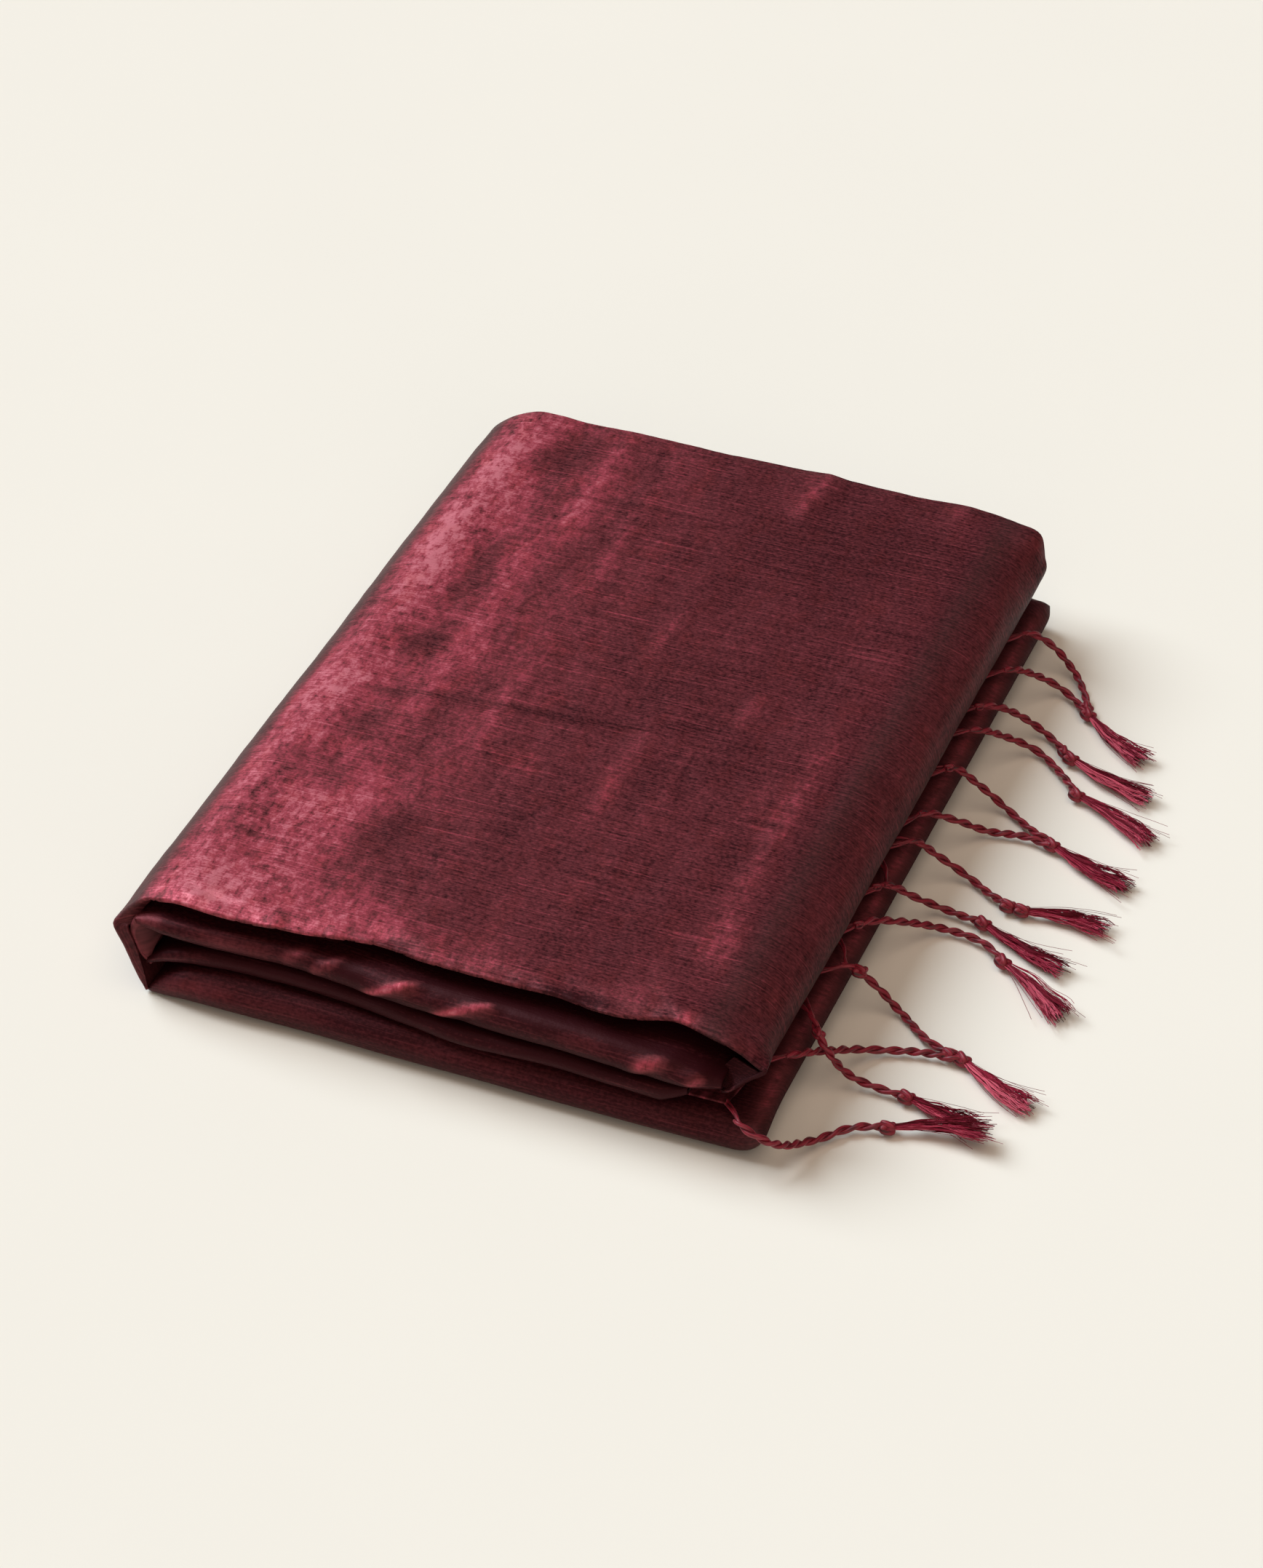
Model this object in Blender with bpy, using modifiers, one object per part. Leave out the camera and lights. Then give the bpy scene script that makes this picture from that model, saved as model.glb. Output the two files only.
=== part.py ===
"""A silk saree with a tasselled end, folded into a flat packet and lying on a table.

Frame: +Z up, +X across the packet towards the tassels, +Y from the near end to the far end.
The origin is in the middle of the flat underside. Tables are in millimetres.
"""
import math

import bmesh
import bpy
import numpy as np

MM = 0.001

# Driving sizes: half the packet's length, the wall that stands for the cloth, and how far from
# the middle the legs of a fold end, inside the packet
HALF_LENGTH = 185.0
WALL = 1.6
SPINE_WALL = 1.4
LEG_END = 152.0

# How finely each form is made
WRAP_STEPS = 38
WRAP_LENGTH_STEPS = 13
NEAR_FOLD_STEPS = 17
FAR_FOLD_STEPS = 11
NOSE_STEPS = 7
SPINE_STEPS = 8
SPINE_LENGTH_STEPS = 7

# The outer stretch, as named places on its section from the foot of the left side, over the top
# and down round the right roll. near_y and far_y are where its two ends stop, and near_dx and
# near_dz pull the near end into its pinched corners.
WRAP_COLUMNS = ("x", "z", "near_y", "far_y", "near_dx", "near_dz")
PINCH_RUN = 16.0
CROWN = 0.5
CROWN_ABOVE_Z = 40.0
WRAP = {
    "foot": (-127.0, 1.4, -184.0, 184.0, 0.0, 0.0),
    "low": (-130.6, 9.0, -183.5, 184.0, 0.0, 0.0),
    "flank": (-136.2, 21.0, -182.5, 184.5, 0.0, 0.0),
    "corner": (-140.8, 30.6, -181.0, 185.0, -0.6, 1.0),
    "corner_top": (-140.2, 33.4, -180.0, 185.4, -0.2, 0.4),
    "bevel": (-137.0, 38.4, -177.6, 186.0, 0.2, -0.4),
    "shoulder": (-131.0, 43.4, -175.0, 188.0, 0.6, -0.6),
    "edge": (-121.0, 46.8, -176.0, 190.6, 0.0, -0.6),
    "top_left": (-92.0, 48.2, -177.4, 190.4, 0.0, -0.4),
    "top_low": (-62.0, 48.8, -176.0, 190.2, 0.0, 0.0),
    "wave_in": (-28.0, 49.2, -172.2, 189.0, 0.0, 0.4),
    "wave_out": (-12.0, 49.3, -173.9, 189.4, 0.0, 0.0),
    "top_mid": (14.0, 49.4, -174.4, 190.2, 0.0, 0.0),
    "top_right": (46.0, 49.5, -174.2, 189.0, 0.0, 0.0),
    "wave_low": (68.0, 49.6, -176.0, 188.6, 0.0, -0.3),
    "crumple": (92.0, 49.7, -171.6, 189.0, 0.0, 0.6),
    "roll_start": (108.0, 48.9, -174.6, 186.0, 0.0, -0.6),
    "roll_high": (119.0, 45.0, -175.4, 181.0, 0.6, -0.4),
    "roll_side": (125.6, 39.0, -176.0, 175.4, 1.4, 0.2),
    "crest": (127.4, 32.6, -176.8, 173.4, 1.0, 3.6),
    "roll_low": (124.4, 26.8, -178.6, 173.0, -2.4, 5.2),
    "under": (116.0, 23.8, -180.0, 173.0, -1.0, 3.8),
    "tuck": (101.0, 22.8, -170.0, 168.0, 0.0, 0.0),
}

# Each inner fold is a rounded nose between two sheets: a row for each place along X gives how far
# its nose lies in from the packet's end, and the undersides and tops of its lower and upper sheet.
FOLD_COLUMNS = ("x", "inset", "low_z", "high_z")
NOSE_REACH = 1.1
NOSE_REACH_MOST = 9.0
FOLDS = {
    "upper_fold": dict(side=-1, rows=(
        (-132.6, 5.4, 29.2, 32.8), (-123.0, 3.8, 28.2, 36.8), (-112.0, 3.4, 27.8, 39.8),
        (-92.0, 4.6, 27.4, 41.0), (-69.0, 6.1, 27.4, 41.2), (-46.0, 4.2, 27.4, 41.0),
        (-22.0, 1.4, 27.4, 41.2), (14.0, 0.7, 27.4, 41.0), (46.0, -0.4, 27.4, 41.2),
        (68.0, -1.2, 27.4, 41.0), (92.0, -1.5, 27.4, 40.6), (101.0, -0.6, 27.6, 38.0),
        (108.0, 2.2, 27.8, 34.8), (112.6, 4.4, 28.0, 32.8))),
    "lower_fold": dict(side=-1, rows=(
        (-127.2, 3.6, 14.2, 18.4), (-118.0, 3.8, 16.4, 23.0), (-107.0, 4.5, 17.9, 26.2),
        (-85.0, 6.0, 17.9, 27.0), (-51.0, 5.7, 17.9, 27.0), (-14.0, 2.0, 17.9, 27.0),
        (10.0, -0.5, 17.9, 27.0), (46.0, 0.5, 17.9, 27.0), (68.0, -0.4, 17.9, 27.0),
        (88.0, -1.0, 17.9, 27.0), (95.0, 0.4, 20.6, 27.0), (99.5, 2.4, 22.6, 27.0))),
    "far_upper_fold": dict(side=1, rows=(
        (-132.6, 6.5, 29.2, 32.8), (-118.0, 4.4, 28.0, 38.4), (-100.0, 3.6, 27.4, 41.0),
        (-40.0, 5.0, 27.4, 41.0), (10.0, 2.6, 27.4, 41.0), (60.0, 4.4, 27.4, 41.0),
        (96.0, 3.2, 27.4, 40.4), (112.6, 6.4, 28.0, 32.8))),
    "far_lower_fold": dict(side=1, rows=(
        (-127.2, 4.6, 14.2, 18.4), (-110.0, 3.4, 17.9, 25.8), (-80.0, 2.4, 17.9, 27.0),
        (-20.0, 4.4, 17.9, 27.0), (40.0, 2.2, 17.9, 27.0), (86.0, 3.2, 17.9, 27.0),
        (94.0, 4.4, 20.0, 27.0), (99.5, 5.4, 22.6, 27.0))),
}

# The lowest fold is a flat bag, open at the left: its undersides and tops, and how far its two
# ends lie in. Its right end narrows to a crest above the table, with its near corner drawn out.
# Its middle is left open on top, under the other layers, up to BASE_OPEN_TO.
BASE = (
    (-125.4, 1.4, 0.0, 5.6), (-119.0, 0.2, 0.0, 11.6), (-110.0, -0.8, 0.0, 16.6),
    (-96.0, -1.0, 0.0, 17.5), (-60.0, -0.6, 0.0, 17.5), (-20.0, -1.2, 0.0, 17.5),
    (20.0, -1.0, 0.0, 17.5), (60.0, -1.2, 0.0, 17.5), (94.6, -1.0, 0.0, 17.5),
    (108.0, -0.8, 0.0, 17.4), (117.0, -0.4, 0.0, 16.7), (121.6, 0.0, 1.2, 15.8),
    (125.6, 0.6, 5.0, 14.6), (127.6, 1.4, 8.6, 13.2),
)
BASE_CREST = dict(x=128.7, z=11.2, half_y=183.0)
BASE_OPEN_TO = 94.0
BASE_CORNER = dict(flare=1.8, run=16.0, from_x=100.0, over=28.0)

# The inner left side joins the upper and the lower fold.
SPINE_COLUMNS = ("x", "z", "near_y", "far_y")
SPINE = {
    "foot": (-127.6, 12.8, -180.5, 179.5),
    "low": (-130.4, 16.4, -181.0, 180.0),
    "flank": (-133.2, 23.4, -180.0, 179.5),
    "corner": (-135.4, 30.4, -179.0, 179.0),
    "head": (-133.6, 34.4, -178.0, 178.0),
}

# The hidden layers, as the rounded slabs that make one solid
LAYER_COLUMNS = ("x0", "x1", "y0", "y1", "z0", "z1", "rounding")
LAYERS = {
    "base": (-104.0, 108.0, -174.0, 174.0, 1.9, 15.5, 5.0),
    "base_middle": (-103.0, 94.2, -149.0, 149.0, 8.0, 22.0, 2.0),
    "lower": (-82.0, 80.0, -168.0, 170.0, 19.9, 25.0, 2.4),
    "lower_middle": (-121.0, 98.0, -149.0, 149.0, 18.6, 30.0, 2.0),
    "upper": (-90.0, 86.0, -168.0, 169.0, 29.4, 38.8, 4.4),
    "upper_middle": (-127.5, 121.5, -149.0, 149.0, 25.0, 46.3, 10.0),
    "crown": (-112.0, 108.0, -158.0, 172.0, 41.3, 46.9, 2.4),
}

# The edge of the tasselled end, where it shows under the roll
PALLU = dict(x0=101.6, x1=115.9, y0=-175.0, y1=178.0, z=18.5, wall=1.2, wave=0.35, ripple=14.0)
PALLU_STEPS = 15

# A twisted cord: its two half widths, the length of a lump, the step between rings, and how far
# apart two cords meet a knot
CORD_WIDE = 1.75
CORD_THIN = 1.15
CORD_LUMP = 5.7
CORD_RING = 1.9
CORD_SIDES = 4
CORD_SPREAD = 2.4
CORD_SLANT = 0.3

# A knot, and the brush of loose ends below it
KNOT_RADIUS = 3.0
KNOT_Z = 3.3
KNOT_SEGMENTS = 8
KNOT_RINGS = 6
STRANDS = 16
STRAND_SIDES = 3
STRAND_RINGS = 4
STRAND_START = 1.2
STRAND_ROOT = 0.36
STRAND_TIP = 0.28
STRAND_SWAY = 0.5
STRAND_SHORTER = 0.12
STRAND_PHASE = 2.4
ROOT_WIDE = 2.1
ROOT_HIGH = 1.7
TIP_WIDE = 4.6
TIP_HIGH = 2.2
SPREAD_POWER = 1.3
GOLDEN_TURN = math.pi * (3.0 - math.sqrt(5.0))

# A row for each tassel: where its knot and the middle of its brush's tip lie
TASSEL_COLUMNS = ("knot_x", "knot_y", "tip_x", "tip_y", "tip_z")
TASSELS = {
    "tassel_01": (162.6, 125.0, 193.0, 103.0, 3.2),
    "tassel_02": (165.0, 93.0, 203.0, 79.0, 3.2),
    "tassel_03": (174.6, 70.6, 212.0, 52.0, 3.2),
    "tassel_04": (175.0, 35.2, 211.0, 21.0, 3.2),
    "tassel_05": (176.6, -9.2, 212.0, -7.0, 3.2),
    "tassel_06": (164.6, -22.6, 203.0, -38.0, 3.2),
    "tassel_07": (179.4, -42.0, 210.0, -64.0, 3.2),
    "tassel_08": (183.0, -103.0, 216.0, -119.0, 3.2),
    "tassel_09": (170.0, -131.4, 199.5, -135.6, 2.9),
    "tassel_10": (169.0, -150.2, 202.5, -143.2, 8.6),
}

# A row for each twisted cord: its tassel and its route from the cloth's edge to the knot
CORD_COLUMNS = ("tassel", "root", "edge", "drop", "lie", "end")
CORDS = (
    ("tassel_01", (117.7, 140.0, 19.2), (127.5, 150.0, 19.4), (136.5, 155.0, 12.0),
     (146.5, 152.0, 5.0), (158.0, 138.0, 3.0)),
    ("tassel_01", (117.7, 112.0, 19.2), (127.0, 122.0, 19.4), (137.0, 132.0, 12.0),
     (146.0, 137.0, 4.6), (154.0, 131.0, 3.0)),
    ("tassel_02", (117.7, 86.0, 19.2), (126.5, 94.0, 19.6), (138.0, 104.0, 11.0),
     (149.0, 106.0, 3.6), (159.5, 98.0, 3.0)),
    ("tassel_03", (117.7, 70.0, 19.2), (127.5, 76.5, 19.6), (137.5, 87.0, 11.5),
     (149.0, 93.0, 3.6), (164.0, 82.0, 3.0)),
    ("tassel_04", (117.7, 41.0, 19.2), (127.5, 50.0, 19.4), (137.5, 53.5, 11.5),
     (150.0, 53.0, 3.6), (165.0, 42.0, 3.0)),
    ("tassel_04", (117.7, 0.0, 19.2), (126.0, 15.0, 19.4), (136.0, 27.0, 12.5),
     (148.0, 35.5, 3.8), (163.5, 34.5, 3.0)),
    ("tassel_05", (117.7, -10.0, 19.2), (127.5, -2.0, 19.4), (137.0, 2.0, 11.5),
     (150.0, 3.0, 3.6), (165.5, -4.6, 3.0)),
    ("tassel_06", (117.7, -43.0, 19.2), (127.0, -32.0, 19.2), (136.0, -26.0, 11.5),
     (146.0, -20.4, 4.0), (156.5, -21.6, 3.0)),
    ("tassel_07", (117.7, -72.0, 19.2), (126.0, -58.0, 19.4), (137.0, -43.0, 11.5),
     (150.0, -32.0, 3.6), (168.0, -33.0, 3.0)),
    ("tassel_08", (117.7, -90.0, 19.2), (127.5, -83.5, 19.2), (137.0, -80.0, 11.5),
     (149.5, -82.5, 3.6), (169.5, -95.5, 3.0)),
    ("tassel_08", (117.7, -148.0, 19.2), (127.0, -139.5, 18.0), (136.5, -122.5, 9.8),
     (150.5, -108.5, 3.6), (168.5, -105.0, 3.0)),
    ("tassel_09", (117.7, -111.0, 19.4), (126.5, -121.5, 21.4), (134.0, -128.0, 17.6),
     (145.0, -126.5, 6.0), (160.0, -129.4, 3.0)),
    ("tassel_10", (114.0, -176.4, 19.4), (123.0, -187.0, 20.4), (132.5, -187.5, 16.5),
     (145.0, -169.0, 4.4), (158.0, -154.0, 3.0)),
)

SILK = dict(base=(0.165, 0.018, 0.032), roughness=0.42, metallic=0.25)
DARK_SILK = dict(base=(0.095, 0.012, 0.020), roughness=0.5, metallic=0.2)
CORD_SILK = dict(base=(0.21, 0.014, 0.034), roughness=0.55, metallic=0.0)


def clear_scene():
    """Remove every object that the scene starts with."""
    for obj in list(bpy.data.objects):
        bpy.data.objects.remove(obj, do_unlink=True)


def collection(name):
    group = bpy.data.collections.new(name)
    bpy.context.scene.collection.children.link(group)
    return group


def finish(obj, group, look):
    """Put an object in its collection with a material of its own."""
    group.objects.link(obj)
    material = bpy.data.materials.new(obj.name + "_silk")
    material.use_nodes = True
    shader = material.node_tree.nodes["Principled BSDF"]
    shader.inputs["Base Color"].default_value = (*look["base"], 1.0)
    shader.inputs["Roughness"].default_value = look["roughness"]
    shader.inputs["Metallic"].default_value = look["metallic"]
    material.diffuse_color = (*look["base"], 1.0)
    obj.data.materials.append(material)
    obj.data.shade_smooth()
    return obj


def curve_through(rows, count, level=False):
    """Sample a smooth curve through the rows, evenly spaced: each stretch is a cubic whose
    slope at a row is that of the chord between its neighbours. With `level`, a slope is the
    harmonic mean of the two stretches' or none at a peak, so that nothing passes a row's value."""
    rows = np.asarray(rows, float)
    chord = np.linalg.norm(np.diff(rows[:, :2], axis=0), axis=1)
    at = np.concatenate([[0.0], np.cumsum(chord)])
    slope = np.gradient(rows, at, axis=0)
    if level:
        run = np.diff(rows, axis=0) / chord[:, None]
        product = np.maximum(run[:-1] * run[1:], 0.0)
        total = run[:-1] + run[1:]
        slope[1:-1] = 2.0 * product / np.where(product > 0.0, total, 1.0)
        slope[0] = run[0]
        slope[-1] = run[-1]
    fine = np.linspace(0.0, at[-1], 40 * len(rows))
    points = hermite(at, rows, slope, fine)
    run = np.concatenate([[0.0], np.cumsum(np.linalg.norm(np.diff(points[:, :2], axis=0), axis=1))])
    even = np.interp(np.linspace(0.0, run[-1], count), run, fine)
    return hermite(at, rows, slope, even)


def hermite(at, rows, slope, where):
    """Cubic pieces through rows at the parameters `at`, with the given slopes."""
    index = np.clip(np.searchsorted(at, where, side="right") - 1, 0, len(at) - 2)
    span = (at[index + 1] - at[index])[:, None]
    t = (where[:, None] - at[index][:, None]) / span
    start = (2 * t ** 3 - 3 * t ** 2 + 1) * rows[index] + (t ** 3 - 2 * t ** 2 + t) * span * slope[index]
    end = (3 * t ** 2 - 2 * t ** 3) * rows[index + 1] + (t ** 3 - t ** 2) * span * slope[index + 1]
    return start + end


def grid_mesh(name, points, loop=False, skip=None):
    """A surface through a grid of points in millimetres. `loop` joins the last column to the
    first, and `skip` says which faces are left open."""
    points = np.asarray(points, float)
    rows, columns, _ = points.shape
    work = bmesh.new()
    verts = [[work.verts.new(point * MM) for point in row] for row in points]
    for i in range(rows - 1):
        for j in range(columns if loop else columns - 1):
            k = (j + 1) % columns
            if skip is None or not skip(i, j):
                work.faces.new((verts[i][j], verts[i + 1][j], verts[i + 1][k], verts[i][k]))
    loose = [vert for vert in work.verts if not vert.link_faces]
    bmesh.ops.delete(work, geom=loose, context="VERTS")
    bmesh.ops.remove_doubles(work, verts=work.verts, dist=0.00001)
    bmesh.ops.recalc_face_normals(work, faces=work.faces)
    mesh = bpy.data.meshes.new(name)
    work.to_mesh(mesh)
    work.free()
    return bpy.data.objects.new(name, mesh)


def cloth(name, points, group, look, wall=WALL, loop=False, skip=None):
    """A wall of cloth with its middle on the given surface."""
    obj = grid_mesh(name, points, loop, skip)
    solid = obj.modifiers.new("cloth", "SOLIDIFY")
    solid.thickness = wall * MM
    solid.offset = 0.0
    solid.use_even_offset = True
    return finish(obj, group, look)


def ease(value):
    return value * value * (3.0 - 2.0 * value)


def end_spacing(count, power=1.5):
    """Steps from 0 to 1 that are closer at both ends."""
    even = np.linspace(-1.0, 1.0, count)
    return 0.5 + 0.5 * np.sign(even) * (1.0 - (1.0 - np.abs(even)) ** power)


def outer_wrap(group):
    """The stretch that covers the packet: its section is carried from the near to the far end,
    pinched at the near end and a little raised along the middle of the top."""
    section = dict(zip(WRAP_COLUMNS, curve_through(list(WRAP.values()), WRAP_STEPS).T))
    rows = []
    for part in end_spacing(WRAP_LENGTH_STEPS):
        run = (section["far_y"] - section["near_y"]) * part
        pinch = np.exp(-(run / PINCH_RUN) ** 2)
        crown = CROWN * np.sin(math.pi * part) * (section["z"] > CROWN_ABOVE_Z)
        rows.append(np.stack([section["x"] + section["near_dx"] * pinch,
                              section["near_y"] + run,
                              section["z"] + section["near_dz"] * pinch + crown], axis=1))
    return cloth("outer_wrap", rows, group, SILK)


def nose(inset, low, high):
    """Points of a fold's section at the near end, from the upper sheet's inner end round the nose
    to the lower sheet's."""
    front = -HALF_LENGTH + inset + 0.5 * WALL
    low = low + 0.5 * WALL
    high = high - 0.5 * WALL
    middle = 0.5 * (low + high)
    half = 0.5 * (high - low)
    reach = min(NOSE_REACH * half, NOSE_REACH_MOST)
    angle = np.linspace(0.5 * math.pi, -0.5 * math.pi, NOSE_STEPS)
    y = front + reach * (1.0 - np.cos(angle))
    z = middle + half * np.sin(angle)
    return np.stack([np.concatenate([[-LEG_END], y, [-LEG_END]]),
                     np.concatenate([[high], z, [low]])], axis=1)


def fold(name, side, rows, group):
    """An inner fold: its section is carried along X. side is -1 at the near end, 1 at the far."""
    steps = NEAR_FOLD_STEPS if side < 0 else FAR_FOLD_STEPS
    points = []
    for row in curve_through(rows, steps, level=True):
        place = dict(zip(FOLD_COLUMNS, row))
        section = nose(place["inset"], place["low_z"], place["high_z"])
        points.append([(place["x"], -side * y, z) for y, z in section])
    return cloth(name, points, group, DARK_SILK)


def base_fold(group):
    """The lowest fold, a bag with a round near and far end and a crest at its right end."""
    points = []
    for row in BASE:
        place = dict(zip(FOLD_COLUMNS, row))
        near = nose(place["inset"], place["low_z"], place["high_z"])
        far = near[::-1] * (-1.0, 1.0)
        points.append([(place["x"], y, z) for y, z in np.concatenate([near, far])])
    crest_y = np.clip(np.array(points[-1])[:, 1], -BASE_CREST["half_y"], BASE_CREST["half_y"])
    points.append([(BASE_CREST["x"], y, BASE_CREST["z"]) for y in crest_y])
    points = np.array(points)
    near_the_corner = np.exp(-((points[..., 1] + HALF_LENGTH) / BASE_CORNER["run"]) ** 2)
    outwards = np.clip((points[..., 0] - BASE_CORNER["from_x"]) / BASE_CORNER["over"], 0.0, 1.0)
    points[..., 0] += BASE_CORNER["flare"] * near_the_corner * ease(outwards)
    last_column = points.shape[1] - 1

    def hidden_middle(i, j):
        return j == last_column and BASE[i][0] < BASE_OPEN_TO
    return cloth("base_fold", points, group, DARK_SILK, loop=True, skip=hidden_middle)


def inner_spine(group):
    """The left side of the inner layers, carried from the near to the far end."""
    section = dict(zip(SPINE_COLUMNS, curve_through(list(SPINE.values()), SPINE_STEPS).T))
    rows = []
    for part in end_spacing(SPINE_LENGTH_STEPS):
        y = section["near_y"] + (section["far_y"] - section["near_y"]) * part
        rows.append(np.stack([section["x"], y, section["z"]], axis=1))
    return cloth("inner_spine", rows, group, SILK, wall=SPINE_WALL)


def slab(name, x0, x1, y0, y1, z0, z1, rounding):
    """A rounded box that stands for some of the hidden layers."""
    work = bmesh.new()
    bmesh.ops.create_cube(work, size=1.0)
    size = np.array([x1 - x0, y1 - y0, z1 - z0]) * MM
    centre = np.array([x1 + x0, y1 + y0, z1 + z0]) * 0.5 * MM
    for vert in work.verts:
        vert.co = centre + np.array(vert.co) * size
    bmesh.ops.bevel(work, geom=work.edges, offset=rounding * MM, segments=2, profile=0.5,
                    affect="EDGES")
    mesh = bpy.data.meshes.new(name)
    work.to_mesh(mesh)
    work.free()
    return bpy.data.objects.new(name, mesh)


def as_guide(obj, guides):
    """Keep an object as a modelling aid that isn't part of the saree."""
    obj.hide_render = True
    obj.display_type = "WIRE"
    guides.objects.link(obj)
    return obj


def join(obj, other, itself=False):
    union = obj.modifiers.new("joined_to_" + other.name, "BOOLEAN")
    union.operation = "UNION"
    union.object = other
    union.use_self = itself


def hidden_layers(group, guides):
    """The layers inside, one rounded solid with a step at each fold."""
    sizes = {name: dict(zip(LAYER_COLUMNS, row)) for name, row in LAYERS.items()}
    core = slab("hidden_layers", **sizes.pop("base"))
    for name, size in sizes.items():
        join(core, as_guide(slab("layer_" + name, **size), guides))
    return finish(core, group, DARK_SILK)


def pallu_edge(group):
    """The edge of the tasselled end, a narrow strip of cloth on the lowest fold."""
    x = np.linspace(PALLU["x0"], PALLU["x1"], 3)
    rows = []
    for y in np.linspace(PALLU["y0"], PALLU["y1"], PALLU_STEPS):
        lift = PALLU["wave"] * (0.5 - 0.5 * math.cos(y / PALLU["ripple"])) * (x > PALLU["x0"])
        rows.append(np.stack([x, np.full_like(x, y), PALLU["z"] + lift], axis=1))
    return cloth("pallu_edge", rows, group, SILK, wall=PALLU["wall"])


def rod(work, path, sections, sides):
    """A closed rod along a path. Each section is its two half widths and its turn."""
    path = np.asarray(path, float)
    tangent = np.gradient(path, axis=0)
    tangent /= np.linalg.norm(tangent, axis=1)[:, None]
    across = np.cross(tangent, (0.0, 0.0, 1.0))
    across /= np.linalg.norm(across, axis=1)[:, None]
    up = np.cross(across, tangent)
    rings = []
    for point, side, rise, (wide, thin, turn) in zip(path, across, up, sections):
        ring = []
        for step in range(sides):
            angle = 2.0 * math.pi * step / sides
            u = wide * math.cos(angle)
            v = thin * math.sin(angle)
            a = u * math.cos(turn) - v * math.sin(turn)
            b = u * math.sin(turn) + v * math.cos(turn)
            ring.append(work.verts.new((point + a * side + b * rise) * MM))
        rings.append(ring)
    for first, second in zip(rings, rings[1:]):
        for step in range(sides):
            after = (step + 1) % sides
            work.faces.new((first[step], first[after], second[after], second[step]))
    work.faces.new(rings[0][::-1])
    work.faces.new(rings[-1])


def twisted_cord(work, route):
    """Two plies twisted together, as a flattened rod that turns by half a turn a lump."""
    route = np.asarray(route, float)
    length = np.linalg.norm(np.diff(route, axis=0), axis=1).sum()
    path = curve_through(route, max(4, round(length / CORD_RING)))
    run = np.concatenate([[0.0], np.cumsum(np.linalg.norm(np.diff(path, axis=0), axis=1))])
    sections = [(CORD_WIDE, CORD_THIN, math.pi * at / CORD_LUMP) for at in run]
    rod(work, path, sections, CORD_SIDES)


def brush(work, knot, tip):
    """The loose ends below a knot: strands on a spiral that widens from the knot to the tip."""
    axis = tip - knot
    length = np.linalg.norm(axis)
    axis = axis / length
    across = np.cross(axis, (0.0, 0.0, 1.0))
    across /= np.linalg.norm(across)
    up = np.cross(across, axis)
    for number in range(STRANDS):
        out = math.sqrt((number + 0.5) / STRANDS)
        turn = number * GOLDEN_TURN
        a = out * math.cos(turn)
        b = out * math.sin(turn)
        shorter = STRAND_SHORTER * (0.5 - 0.5 * math.cos(STRAND_PHASE * number))
        reach = length * (1.0 - shorter) - STRAND_START
        path = []
        for part in np.linspace(0.0, 1.0, STRAND_RINGS):
            wide = ROOT_WIDE + (TIP_WIDE - ROOT_WIDE) * part ** SPREAD_POWER
            high = ROOT_HIGH + (TIP_HIGH - ROOT_HIGH) * part
            sway = STRAND_SWAY * math.sin(math.pi * part)
            path.append(knot + axis * (STRAND_START + reach * part)
                        + across * (a * wide + sway) + up * (b * high))
        sizes = np.linspace(STRAND_ROOT, STRAND_TIP, STRAND_RINGS)
        sections = [(size, size, 0.5 * math.pi) for size in sizes]
        rod(work, path, sections, STRAND_SIDES)


def mesh_guide(name, work, guides):
    """Make a guide of the rods in a bmesh."""
    bmesh.ops.recalc_face_normals(work, faces=work.faces)
    mesh = bpy.data.meshes.new(name)
    work.to_mesh(mesh)
    work.free()
    return as_guide(bpy.data.objects.new(name, mesh), guides)


def tassel(name, row, group, guides):
    """A knot with its twisted cords and its brush joined to it."""
    place = dict(zip(TASSEL_COLUMNS, row))
    knot = np.array([place["knot_x"], place["knot_y"], KNOT_Z])
    tip = np.array([place["tip_x"], place["tip_y"], place["tip_z"]])
    work = bmesh.new()
    bmesh.ops.create_uvsphere(work, u_segments=KNOT_SEGMENTS, v_segments=KNOT_RINGS,
                              radius=KNOT_RADIUS * MM)
    bmesh.ops.translate(work, vec=knot * MM, verts=work.verts)
    mesh = bpy.data.meshes.new(name)
    work.to_mesh(mesh)
    work.free()
    head = bpy.data.objects.new(name, mesh)
    cords = [cord for cord in (dict(zip(CORD_COLUMNS, row)) for row in CORDS)
             if cord["tassel"] == name]
    for number, cord in enumerate(cords):
        work = bmesh.new()
        beside = CORD_SPREAD * (0.5 * (len(cords) - 1) - number)
        head_end = knot + (CORD_SLANT * beside, beside, 0.0)
        twisted_cord(work, [cord[place] for place in CORD_COLUMNS[1:]] + [head_end])
        join(head, mesh_guide(f"{name}_cord_{number + 1}", work, guides))
    work = bmesh.new()
    brush(work, knot, tip)
    join(head, mesh_guide(name + "_brush", work, guides), itself=True)
    return finish(head, group, CORD_SILK)


def main():
    clear_scene()
    saree = collection("folded_saree")
    guides = collection("guides")
    base_fold(saree)
    hidden_layers(saree, guides)
    for name, values in FOLDS.items():
        fold(name, values["side"], values["rows"], saree)
    inner_spine(saree)
    outer_wrap(saree)
    pallu_edge(saree)
    for name, row in TASSELS.items():
        tassel(name, row, saree, guides)


main()
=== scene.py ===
"""The looks of a silk saree that is folded into a flat packet, with its tasselled end lying out.

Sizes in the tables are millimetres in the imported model's frame: +X across the packet towards the
tassels, +Y from the near end with its open folds to the far end, +Z up from the table.
"""
import math

import bpy
import numpy as np
from mathutils import Matrix


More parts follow.
